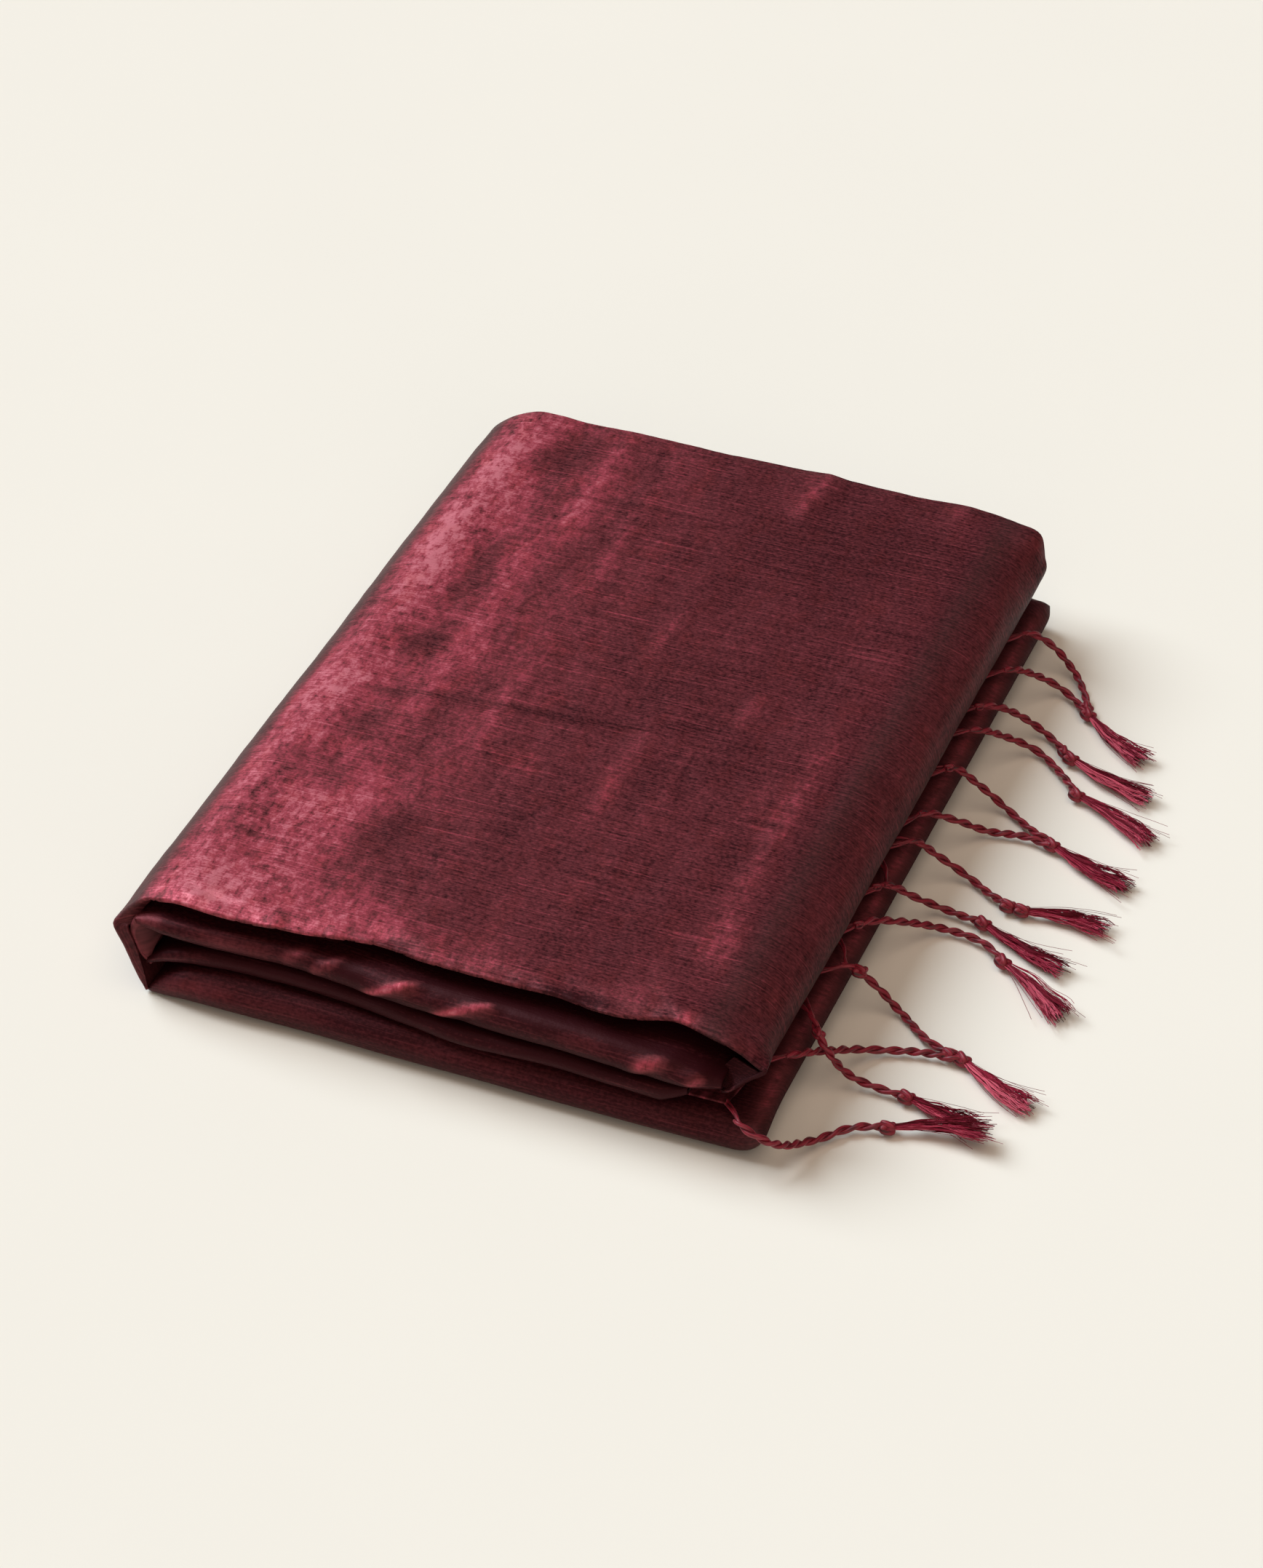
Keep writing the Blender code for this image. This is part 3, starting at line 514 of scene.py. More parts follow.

# A row for each tassel: where its knot and the middle of its brush's tip lie, how much its brush
# spreads, how it bends to the side, and how much shade (negative) or light (positive) is painted on its
# brush
TASSEL_COLUMNS = ("knot_x", "knot_y", "tip_x", "tip_y", "tip_z", "spread", "bend", "shade")
TASSELS = {
    "tassel_01": (162.6, 125, 195, 102, 3.6, 6.2, 1.8, 0),
    "tassel_02": (165, 93, 205, 78.6, 3.4, 5.6, 1.2, -0.06),
    "tassel_03": (174.6, 70.6, 213, 51.6, 3.4, 5.8, -1, 0),
    "tassel_04": (175, 35.2, 213, 20.4, 3.4, 6.2, 1.2, -0.14),
    "tassel_05": (176.6, -9.2, 213, -7, 3.4, 5.4, -2, -0.18),
    "tassel_06": (164.6, -22.6, 205, -38.8, 3.4, 5.4, 1, -0.24),
    "tassel_07": (179.4, -42, 212, -65, 3.4, 6.4, -1.2, 0),
    "tassel_08": (183, -103, 217, -119.6, 3.4, 6, 1.4, 0.04),
    "tassel_09": (170, -131.4, 202, -136.2, 2.9, 4.8, 0.8, -0.16),
    "tassel_10": (169, -150.2, 208, -141.2, 7.4, 6, -2.2, -0.2),
}

# A row for each twisted cord: its tassel, where along the edge its loose yarns leave the cloth, from
# its root, and its route from the cloth's edge to the knot
CORD_COLUMNS = ("tassel", "fan", "root", "edge", "drop", "lie", "end")
CORDS = (
    ("tassel_01", (-3, -1, 1, 2.6), (117.7, 140, 19.2), (127.5, 150, 19.4),
     (136.5, 155, 12), (146.5, 152, 5), (158, 136, 3.2)),
    ("tassel_01", (-2.6, -0.8, 0.8, 2.2), (117.7, 112, 19.2), (127, 122, 19.4),
     (137, 132, 12), (146, 137, 4.6), (156, 131, 3.2)),
    ("tassel_02", (-2.4, -0.8, 0.8, 2.6), (117.7, 86, 19.2), (126.5, 94, 19.6),
     (138, 104, 11), (149, 106, 3.6), (159.5, 98, 3.2)),
    ("tassel_03", (-3, -1, 0.8, 2.4), (117.7, 70, 19.2), (127.5, 76.5, 19.6),
     (137.5, 87, 11.5), (149, 93, 3.6), (164, 82, 3.2)),
    ("tassel_04", (-3.6, -1.8, 0.6, 4.6), (117.7, 40, 19.2), (126.5, 48.6, 19.8),
     (137.5, 52, 11.5), (150, 51, 3.6), (166, 40.6, 3.2)),
    ("tassel_04", (-4.6, -3, -1.2, 0.8), (117.7, 4, 19.2), (125.4, 15.8, 19.6),
     (136, 25, 12.5), (148, 33.5, 3.8), (165, 36.4, 3.2)),
    ("tassel_05", (-4, -2.2, 0.4, 4), (117.7, -9, 19.2), (128, -2.6, 19.6),
     (137, 1.6, 11.5), (150, 2.6, 3.6), (163.5, -5, 3.2)),
    ("tassel_06", (-3, -1.4, 0.6, 25, 28), (117.7, -43, 19.2), (127.4, -33, 19.6),
     (136, -26.4, 11.5), (146, -20.4, 4), (156.5, -21.2, 3.2)),
    ("tassel_07", (-3.4, -1.8, 0.6, 2.4), (117.7, -70, 19.2), (126, -58.4, 19.6),
     (137, -43, 11.5), (150, -32, 3.6), (168, -33.6, 3.2)),
    ("tassel_08", (-4, -2.6, -1, 23, 26), (117.7, -92, 19.2), (129.4, -85.6, 20),
     (138.4, -83, 12.5), (150.5, -85, 3.6), (170.5, -99, 3.2)),
    ("tassel_08", (-1.6, -0.4, 1), (117.7, -150, 19.2), (127, -141.4, 19),
     (137, -127, 12.6), (150.5, -110.5, 3.8), (171, -104.2, 3.2)),
    ("tassel_09", (-5.4, -3.6, 0.6, 2.4), (118.4, -108, 19.4), (127.6, -121.6, 21.6),
     (136, -131.6, 19), (147, -131, 6.4), (161, -130.6, 3.2)),
    ("tassel_10", (-0.6, 0.4, 1.4), (114, -176.4, 19.4), (123, -187, 20.4),
     (132.5, -187.5, 16.5), (145, -169, 4.4), (158, -154, 3.2)),
)
# How far the cords of a tassel end apart, along Y and in shares of that along X, the radius of a
# loose yarn under a cord, and the step along a twist
CORD_SPREAD = 2.2
CORD_SLANT = 0.3
YARN_RADIUS = 0.58
TWIST_STEP = 0.6
# The plies' radius where a twist starts, in shares, and the run over which it grows, and how far
# they lie from the twist's middle, in shares of their radius
PLY_START = 0.78
PLY_START_RUN = 6.0
PLY_APART = 0.92
# The turn's unevenness, and the run of its waves
TURN_UNEVEN = 0.10
TURN_RUN = 8.0
# A knot's trefoil across, up and along the cord, and its strand's radius, in shares of its size
KNOT_SHAPE = dict(across=0.86, up=-0.66, along=2.4, strand=0.55)
# Small knots besides the tassels' own: the tassel, place, turn and size
SMALL_KNOTS = (
    ("tassel_01", 160.4, 129.4, 3.6, -0.8, 2.2), ("tassel_02", 161.2, 96.2, 3.6, -0.8, 2.1),
    ("tassel_04", 125.6, 47.4, 20.4, 0.9, 1.6), ("tassel_05", 170.4, -8.6, 3.6, 0, 2.4),
    ("tassel_06", 123.6, -36.2, 20.2, 0.8, 1.5), ("tassel_07", 124.6, -61, 20.4, 0.9, 1.6),
    ("tassel_08", 134, -84.8, 18.2, 0.1, 2.3), ("tassel_08", 177, -102.4, 3.6, -0.2, 2.2),
    ("tassel_09", 132.6, -128, 21, -0.8, 1.9), ("tassel_02", 124, 91.4, 20.4, 0.8, 1.5),
)
# The height of the tassels' knots, and the least gap above the table
KNOT_Z = 3.6
TABLE_CLEARANCE = 0.25

# A brush: half its width and height in the knot, half its height at its tip, the power that it
# widens with, how far out its yarns reach, how far its fibres open at their start and how much
# more at their tips, its yarns' tones in turn, how many single fibres stray from it and how thin
BRUSH_ROOT_WIDE = 1.5
BRUSH_ROOT_HIGH = 1.4
BRUSH_TIP_HIGH = 2.9
BRUSH_WIDENS = 1.15
BRUSH_FILL = 0.84
YARN_OPEN = 0.05
YARN_OPENS = 0.09
YARN_TONES = (0.08, 0.72, 0.34, 0.92, 0.2)
STRAYS = 12
STRAY_THIN = 0.6
BRUSH_SEED = 400

# The places of a tassel's materials
CORD_LOOK = 0
YARN_LOOK = 1


def linear(code):
    """Turn an sRGB hex colour into linear red, green, blue and alpha."""
    channels = [int(code[start:start + 2], 16) / 255.0 for start in (1, 3, 5)]
    return (*[c / 12.92 if c <= 0.04045 else ((c + 0.055) / 1.055) ** 2.4 for c in channels], 1.0)


def colour_property(name, description, code):
    """A colour that a user can change."""
    return bpy.props.FloatVectorProperty(name=name, description=description, subtype="COLOR",
                                         size=4, min=0.0, max=1.0, default=linear(code))


def length_property(name, description, size, least, most=1000.0, precision=4):
    """A length that a user can change. Its values are given in millimetres."""
    return bpy.props.FloatProperty(name=name, description=description, default=size * MM,
                                   min=least * MM, max=most * MM, precision=precision,
                                   unit="LENGTH")


class SareeCloth(bpy.types.PropertyGroup):
    """The cloth's sizes and colours."""
    wall: length_property("Cloth thickness", "Thickness of each stretch that shows", 1.1, 0.2, 2.0)
    slub_length: length_property("Slub length", "Length of a thick place in a thread", 24.0, 1.0)
    slub_width: length_property(
        "Slub width", "Width of a thick thread with its neighbours", 0.75, 0.1)
    deep: colour_property("Deep red", "The cloth where it turns from the light", "#320a10")
    middle: colour_property("Red", "The cloth's body colour", "#6c2e34")
    bright: colour_property("Bright red", "The cloth where its sheen starts", "#a24250")
    gleam: colour_property("Gleam", "The cloth where its sheen is full", "#ca727e")
    warm: colour_property("Warm tint", "What the red takes on in patches", "#ffdcc8")
    # The grey is partly the weft's own colour and partly a painted grazing reflection, placed where the
    # cloth turns away.
    grey: colour_property("Grey weft", "The cloth where its weft shows", "#54403e")


class SareeFringe(bpy.types.PropertyGroup):
    """The fringe's sizes and colours."""
    ply: length_property("Ply radius", "Radius of one of a cord's two plies", 0.92, 0.2)
    turn: length_property("Turn", "Length in which a ply goes once round the cord", 13.8, 2.0)
    knot: length_property("Knot radius", "Radius of the knot under a cord", 2.4, 0.5)
    yarns: bpy.props.IntProperty(
        name="Yarns", description="Yarns that open in each brush", default=24, min=3)
    hairs: bpy.props.IntProperty(
        name="Yarn ends", description="Loose fibres in each yarn", default=6, min=3)
    hair: length_property("Fibre radius", "Radius of a loose fibre", 0.185, 0.03, precision=5)
    cord: colour_property("Cord", "The twisted cords", "#8a2031")
    # The dark cord colour is partly the yarns' own tone and partly painted shade between them.
    cord_dark: colour_property("Cord, dark", "The cords between their yarns", "#3c0b13")
    yarn: colour_property("Yarn", "The loose yarn ends", "#95203a")
    yarn_light: colour_property("Yarn, light", "The lightest yarn ends", "#e06c80")
    yarn_dark: colour_property("Yarn, dark", "The darkest yarn ends", "#4c0812")


def set_inputs(tree, node, inputs):
    """Link each named input of a node to a socket, or set it to a value."""
    for name, value in inputs.items():
        if isinstance(value, bpy.types.NodeSocket):
            tree.links.new(value, node.inputs[name])
        else:
            node.inputs[name].default_value = value


def add_node(tree, kind, inputs, **settings):
    """Add a node with its settings and its inputs."""
    node = tree.nodes.new(kind)
    for name, value in settings.items():
        setattr(node, name, value)
    set_inputs(tree, node, inputs)
    return node


def new_material(name):
    """A material, with its node tree and its Principled BSDF."""
    material = bpy.data.materials.new(name)
    material.use_nodes = True
    return material, material.node_tree, material.node_tree.nodes["Principled BSDF"]


def ramp_stops(node, stops):
    """Set a colour ramp's stops from (place, colour) pairs."""
    elements = node.color_ramp.elements
    while len(elements) < len(stops):
        elements.new(0.5)
    for element, (place, colour) in zip(elements, stops):
        element.position = place
        element.color = colour


def threads_noise(tree, uv, size_u, size_v, detail, roughness, start=0.0):
    """A noise of blots that are size_u long along the threads and size_v across them."""
    place = add_node(tree, "ShaderNodeMapping", {"Vector": uv, "Location": (start, 3.0 * start, 0.0),
                                                 "Scale": (1.0 / size_u, 1.0 / size_v, 1.0)})
    noise = add_node(tree, "ShaderNodeTexNoise",
                     {"Vector": place.outputs["Vector"], "Scale": 1.0, "Detail": detail,
                      "Roughness": roughness}, noise_dimensions="2D")
    return noise.outputs["Fac"]


def scaled(tree, value, factor, about=0.5):
    """(value - about) * factor"""
    shifted = add_node(tree, "ShaderNodeMath", {0: value, 1: about}, operation="SUBTRACT")
    return add_node(tree, "ShaderNodeMath", {0: shifted.outputs[0], 1: factor},
                    operation="MULTIPLY").outputs[0]


def total(tree, *values):
    """The sum of some sockets."""
    result = values[0]
    for value in values[1:]:
        result = add_node(tree, "ShaderNodeMath", {0: result, 1: value}, operation="ADD").outputs[0]
    return result


def shot_silk(name, cloth):
    """Shot dupion silk: fine silk warp with a metallic yarn and a slubby weft. Its slubs run along the
    threads. Its painted sheen and painted shade lie in long soft streaks across them. At its folds,
    where it turns away, it is painted grey: partly the weft's grey and partly a painted grazing
    reflection."""
    material, tree, shader = new_material(name)
    uv = add_node(tree, "ShaderNodeUVMap", {}, uv_map="threads").outputs["UV"]
    sheen, grey, weave = (add_node(tree, "ShaderNodeAttribute", {}, attribute_name=label).outputs["Fac"]
                          for label in ("sheen", "grey", "weave"))
    slub = threads_noise(tree, uv, cloth.slub_length, cloth.slub_width, 1.0, 0.6)
    long_slub = threads_noise(tree, uv, 2.6 * cloth.slub_length, 1.3 * cloth.slub_width, 1.0, 0.5, 7.0)
    noise = {}
    for pattern, (along, across, detail, roughness, start) in SILK_PATTERNS.items():
        noise[pattern] = threads_noise(tree, uv, along * MM, across * MM, detail, roughness, start)
    for pattern, (low, high, most) in SILK_MARKS.items():
        mark = add_node(tree, "ShaderNodeMapRange", {"Value": noise[pattern], "From Min": low,
                                                     "From Max": high, "To Min": 0.0, "To Max": most})
        noise[pattern] = mark.outputs["Result"]
    # The mottle, the cloud and the flecks vary the painted sheen. They grow with the sheen attribute, so
    # they show most where most light is painted.
    blot = total(tree, scaled(tree, noise["mottle"], 2.2), scaled(tree, noise["cloud"], 1.6),
                 noise["fleck"])
    reach = add_node(tree, "ShaderNodeMath", {0: sheen, 1: 1.0, 2: 0.12}, operation="MULTIPLY_ADD",
                     use_clamp=True).outputs[0]
    blot = add_node(tree, "ShaderNodeMath", {0: blot, 1: reach}, operation="MULTIPLY").outputs[0]
    threads = total(tree, scaled(tree, slub, 0.32), scaled(tree, long_slub, 0.24),
                    scaled(tree, noise["grain"], 0.6), noise["line"])
    threads = add_node(tree, "ShaderNodeMath", {0: threads, 1: weave}, operation="MULTIPLY").outputs[0]
    light = total(tree, sheen, blot, threads)
    place = add_node(tree, "ShaderNodeMath", {0: light, 1: 0.8, 2: 0.17},
                     operation="MULTIPLY_ADD", use_clamp=True).outputs[0]
    ramp = add_node(tree, "ShaderNodeValToRGB", {"Fac": place})
    ramp_stops(ramp, ((0.0, cloth.deep), (0.3, cloth.middle), (0.62, cloth.bright),
                      (1.0, cloth.gleam)))
    shot = add_node(tree, "ShaderNodeMix", {"Factor": noise["warm"], 6: ramp.outputs["Color"],
                                            7: cloth.warm}, data_type="RGBA", blend_type="MULTIPLY")
    mix = add_node(tree, "ShaderNodeMix", {"Factor": grey, 6: shot.outputs[2], 7: cloth.grey},
                   data_type="RGBA")
    rough = add_node(tree, "ShaderNodeMath", {0: place, 1: -0.12, 2: 0.56}, operation="MULTIPLY_ADD")
    height = total(tree, scaled(tree, slub, 0.9), scaled(tree, noise["grain"], 0.8),
                   scaled(tree, noise["mottle"], 1.2))
    bump = add_node(tree, "ShaderNodeBump", {"Height": height, "Strength": 0.4,
                                             "Distance": 0.25 * MM})
    set_inputs(tree, shader, {"Base Color": mix.outputs[2], "Roughness": rough.outputs[0],
                              "Normal": bump.outputs["Normal"], "Metallic": 0.3,
                              "Specular IOR Level": 0.12})
    return material


def twisted_silk(name, fringe):
    """Two-ply silk cord: yarns lie side by side along each ply, each of its own tone, and are painted
    darker between them as painted shade in the gaps.
    """
    material, tree, shader = new_material(name)
    uv = add_node(tree, "ShaderNodeUVMap", {}, uv_map="threads").outputs["UV"]
    yarns = threads_noise(tree, uv, 6.0 * MM, 0.45 * MM, 1.0, 0.5)
    patch = threads_noise(tree, uv, 4.0 * MM, 3.0 * MM, 1.0, 0.5, 5.0)
    place = total(tree, scaled(tree, yarns, 1.5), scaled(tree, patch, 0.9), 0.6)
    ramp = add_node(tree, "ShaderNodeValToRGB", {"Fac": place})
    ramp_stops(ramp, ((0.15, fringe.cord_dark), (0.75, fringe.cord)))
    bump = add_node(tree, "ShaderNodeBump", {"Height": yarns, "Strength": 0.6,
                                             "Distance": 0.2 * MM})
    set_inputs(tree, shader, {"Base Color": ramp.outputs["Color"], "Normal": bump.outputs["Normal"],
                              "Roughness": 0.42, "Specular IOR Level": 0.35, "Sheen Weight": 0.12,
                              "Sheen Roughness": 0.4, "Sheen Tint": linear("#e0a0ac")})
    return material


def loose_yarn(name, fringe):
    """Untwisted silk yarn ends, each a little lighter or darker than the next."""
    material, tree, shader = new_material(name)
    # The tone holds each yarn's own tone and its tassel's painted shade or light.
    tone = add_node(tree, "ShaderNodeAttribute", {}, attribute_name="sheen").outputs["Fac"]
    ramp = add_node(tree, "ShaderNodeValToRGB", {"Fac": tone})
    ramp_stops(ramp, ((0.0, fringe.yarn_dark), (0.5, fringe.yarn), (1.0, fringe.yarn_light)))
    set_inputs(tree, shader, {"Base Color": ramp.outputs["Color"], "Roughness": 0.5,
                              "Specular IOR Level": 0.08})
    return material


def matt_paper(name):
    """A plain warm white surface with a very faint unevenness."""
    material, tree, shader = new_material(name)
    place = add_node(tree, "ShaderNodeTexCoord", {}).outputs["Object"]
    noise = add_node(tree, "ShaderNodeTexNoise", {"Vector": place, "Scale": 6.0, "Detail": 2.0})
    ramp = add_node(tree, "ShaderNodeValToRGB", {"Fac": noise.outputs["Fac"]})
    ramp_stops(ramp, ((0.3, linear("#eeeae0")), (0.7, linear("#efebe1"))))
    set_inputs(tree, shader, {"Base Color": ramp.outputs["Color"], "Roughness": 0.8,
                              "Specular IOR Level": 0.2})
    return material


def material_named(name, make, settings):
    """A material that the pieces share, made the first time that it is asked for."""
    return bpy.data.materials.get(name) or make(name, settings)


def unit(vectors):
    """Vectors over their lengths."""
    return vectors / np.maximum(np.linalg.norm(vectors, axis=-1, keepdims=True), 1e-9)


def square_to(direction, guide=(0.0, 0.0, 1.0)):
    """Two unit vectors square to a direction: across it and the guide, and across those two."""
    across = unit(np.cross(direction, guide))
    return across, np.cross(across, direction)


def rising(values, start, run):
    """0 up to the start, then straight up to 1 over the run, which is below 0 to go back."""
    return np.clip((values - start) / run, 0.0, 1.0)


def bell(distance, half_width):
    """1 at no distance and less the farther: exp(-(distance / half width) squared)."""
    return np.exp(-(distance / half_width) ** 2)


def along_table(table, places):
    """Values at some places, on straight lines between a table's (place, value) pairs."""
    return np.interp(places, *np.array(table).T)


def run_along(points):
    """The distance along a line of points, from its first."""
    steps = np.linalg.norm(np.diff(points, axis=0), axis=1)
    return np.concatenate([[0.0], np.cumsum(steps)])


def hermite(at, rows, slope, where):
    """Cubic pieces through rows at the parameters `at`, with the given slopes."""
    index = np.clip(np.searchsorted(at, where, side="right") - 1, 0, len(at) - 2)
    span = (at[index + 1] - at[index])[:, None]
    t = (where[:, None] - at[index][:, None]) / span
    start = (2 * t ** 3 - 3 * t ** 2 + 1) * rows[index] + (t ** 3 - 2 * t ** 2 + t) * span * slope[index]
    end = (3 * t ** 2 - 2 * t ** 3) * rows[index + 1] + (t ** 3 - t ** 2) * span * slope[index + 1]
    return start + end


def curve_through(rows, count, level=False, across=2):
    """Sample a smooth curve through the rows, evenly spaced: each stretch is a cubic whose
    slope at a row is that of the chord between its neighbours. With `level`, a slope is the
    harmonic mean of the two stretches' or none at a peak, so that nothing passes a row's value."""
    rows = np.asarray(rows, float)
    at = run_along(rows[:, :across])
    slope = np.gradient(rows, at, axis=0)
    if level:
        run = np.diff(rows, axis=0) / np.diff(at)[:, None]
        product = np.maximum(run[:-1] * run[1:], 0.0)
        both = run[:-1] + run[1:]
        slope[1:-1] = 2.0 * product / np.where(product > 0.0, both, 1.0)
        slope[0] = run[0]
        slope[-1] = run[-1]
    fine = np.linspace(0.0, at[-1], FINE_STEPS * len(rows))
    points = hermite(at, rows, slope, fine)
    run = run_along(points[:, :across])
    even = np.interp(np.linspace(0.0, run[-1], count), run, fine)
    return hermite(at, rows, slope, even)


def streaks(a, b, rows):
    """A field of soft streaks: each is its height times a bell of the distance from its line, and
    fades past the ends of its line by exp(-(distance / reach) to the fourth power)."""
    field = np.zeros(np.broadcast(a, b).shape)
    for a0, b0, a1, b1, half_width, height in rows:
        length = math.hypot(a1 - a0, b1 - b0)
        ca, cb = (a1 - a0) / length, (b1 - b0) / length
        along = (a - 0.5 * (a0 + a1)) * ca + (b - 0.5 * (b0 + b1)) * cb
        beside = (a - 0.5 * (a0 + a1)) * -cb + (b - 0.5 * (b0 + b1)) * ca
        fade = np.exp(-(along / (0.5 * length + 0.4 * half_width)) ** 4)
        field = field + height * fade * bell(beside, half_width)
    return field


def ripples(a, b, seed, length_a, length_b, count=14):
    """Slow unevenness: a sum of sine waves of about the given lengths, between -1 and 1."""
    draw = np.random.default_rng(seed)
    field = np.zeros(np.broadcast(a, b).shape)
    for _ in range(count):
        wave_a = (2.0 * math.pi / length_a) * draw.uniform(-1.3, 1.3)
        wave_b = (2.0 * math.pi / length_b) * draw.uniform(-1.3, 1.3)
        field = field + np.sin(wave_a * a + wave_b * b + draw.uniform(0.0, 2.0 * math.pi))
    return field / count ** 0.5 * 0.7


def uneven(a, b, rows):
    """A sum of ripples, with a row for the height, the seed and the two lengths of each."""
    return sum(height * ripples(a, b, seed, length_a, length_b)
               for height, seed, length_a, length_b in rows)


def name_seed(name):
    """A number that stands for a name."""
    return sum(map(ord, name))


def grid_normals(points, towards):
    """Unit normals of a grid, from the cross product of its row and column directions, all turned
    over if the middle one points away from `towards`."""
    normal = unit(np.cross(np.gradient(points, axis=0), np.gradient(points, axis=1)))
    middle = normal[len(normal) // 2, normal.shape[1] // 2]
    return -normal if np.dot(middle, towards) < 0.0 else normal


def grid_faces(rows, columns, loop=False):
    """The four corners of each face of a grid, whose last column joins its first in a loop."""
    i, j = np.meshgrid(np.arange(rows - 1), np.arange(columns if loop else columns - 1),
                       indexing="ij")
    k = (j + 1) % columns
    corners = (i * columns + j, (i + 1) * columns + j, (i + 1) * columns + k, i * columns + k)
    return np.stack(corners, axis=-1).reshape(-1, 4)


def grid_uv(uv):
    """The UV places of each face's four corners. A looped grid's uv has one more column."""
    corners = (uv[:-1, :-1], uv[1:, :-1], uv[1:, 1:], uv[:-1, 1:])
    return np.stack(corners, axis=-2).reshape(-1, 2)


def make_piece(name, points, faces, uv, materials, sheen=None, grey=None, weave=None, looks=None):
    """Make a mesh object from points, a list of face arrays (each with its own number of corners),
    and a UV place for each corner. The points and the UV places are in millimetres."""
    corners = np.concatenate([part.ravel() for part in faces]).astype(np.int32)
    sizes = np.concatenate([np.full(len(part), part.shape[1]) for part in faces])
    mesh = bpy.data.meshes.new(name)
    mesh.vertices.add(len(points))
    mesh.vertices.foreach_set("co", (points * MM).astype(np.float32).ravel())
    mesh.loops.add(len(corners))
    mesh.loops.foreach_set("vertex_index", corners)
    mesh.polygons.add(len(sizes))
    mesh.polygons.foreach_set("loop_start", (np.cumsum(sizes) - sizes).astype(np.int32))
    if looks is not None:
        mesh.polygons.foreach_set("material_index", looks.astype(np.int32))
    mesh.update(calc_edges=True)
    layer = mesh.uv_layers.new(name="threads")
    layer.uv.foreach_set("vector", (uv * MM).astype(np.float32).ravel())
    for label, values in (("sheen", sheen), ("grey", grey), ("weave", weave)):
        attribute = mesh.attributes.new(label, "FLOAT", "POINT")
        if values is not None:
            attribute.data.foreach_set("value", np.asarray(values, np.float32).ravel())
    mesh.validate()
    mesh.shade_smooth()
    for material in materials:
        mesh.materials.append(material)
    piece = bpy.data.objects.new(name, mesh)
    bpy.context.scene.collection.objects.link(piece)
    return piece


def thicken(piece, wall):
    """Give cloth its thickness, half to each side, and round its cut edges."""
    shell = piece.modifiers.new("cloth", "SOLIDIFY")
    shell.thickness = wall
    shell.offset = 0.0
    shell.use_even_offset = False
    edge = piece.modifiers.new("soft_edge", "BEVEL")
    edge.width = EDGE_SHARE * wall
    edge.segments = 2
    edge.limit_method = "ANGLE"
    edge.angle_limit = EDGE_ANGLE
    edge.harden_normals = False


def dress(piece, slot, *nodes):
    """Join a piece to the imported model's body, in place of the nodes that it stands for."""
    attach(piece, BODY)
    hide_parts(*nodes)
    return piece


def silk_piece(name, node, cloth, points, uv, sheen, grey, weave, flip=False, loop=False):
    """A grid of points as cloth of the shot silk. `weave` is how much its threads stand out, and
    `flip` turns its faces over."""
    shape = points.shape[:2]
    looks = [np.broadcast_to(values, shape) for values in (sheen, grey, weave)]
    if flip:
        points, uv, *looks = (values[:, ::-1] for values in (points, uv, *looks))
    piece = make_piece(name, points.reshape(-1, 3), [grid_faces(*shape, loop)], grid_uv(uv),
                       [material_named("shot_dupion_silk", shot_silk, cloth)], *looks)
    thicken(piece, cloth.wall)
    return dress(piece, SILK_SLOT, node)


def end_spacing(count):
    """Steps from 0 to 1 that are closer at both ends."""
    even = np.linspace(-1.0, 1.0, count)
    return 0.5 + 0.5 * np.sign(even) * (1.0 - (1.0 - np.abs(even)) ** END_POWER)


def turned_edge(depth, back, count):
    """A turned-in edge for each place of a section: it starts at the free edge, which lies `depth`
    inwards and `back` along the cloth, and bends round a small radius into the cloth. Gives the
    distance along the cloth and the distance inwards, both as (place, step)."""
    steps = np.array(HEM_STEPS)
    at = np.arange(float(len(steps)))
    weights = hermite(at, np.eye(len(steps)), np.gradient(np.eye(len(steps)), at, axis=0),
                      np.linspace(0.0, at[-1], count))
    inwards = depth[:, None] * steps[:, 0] + HEM_RADIUS * steps[:, 2]
    along = back[:, None] * steps[:, 1] + HEM_RADIUS * steps[:, 3]
    return along @ weights.T, inwards @ weights.T


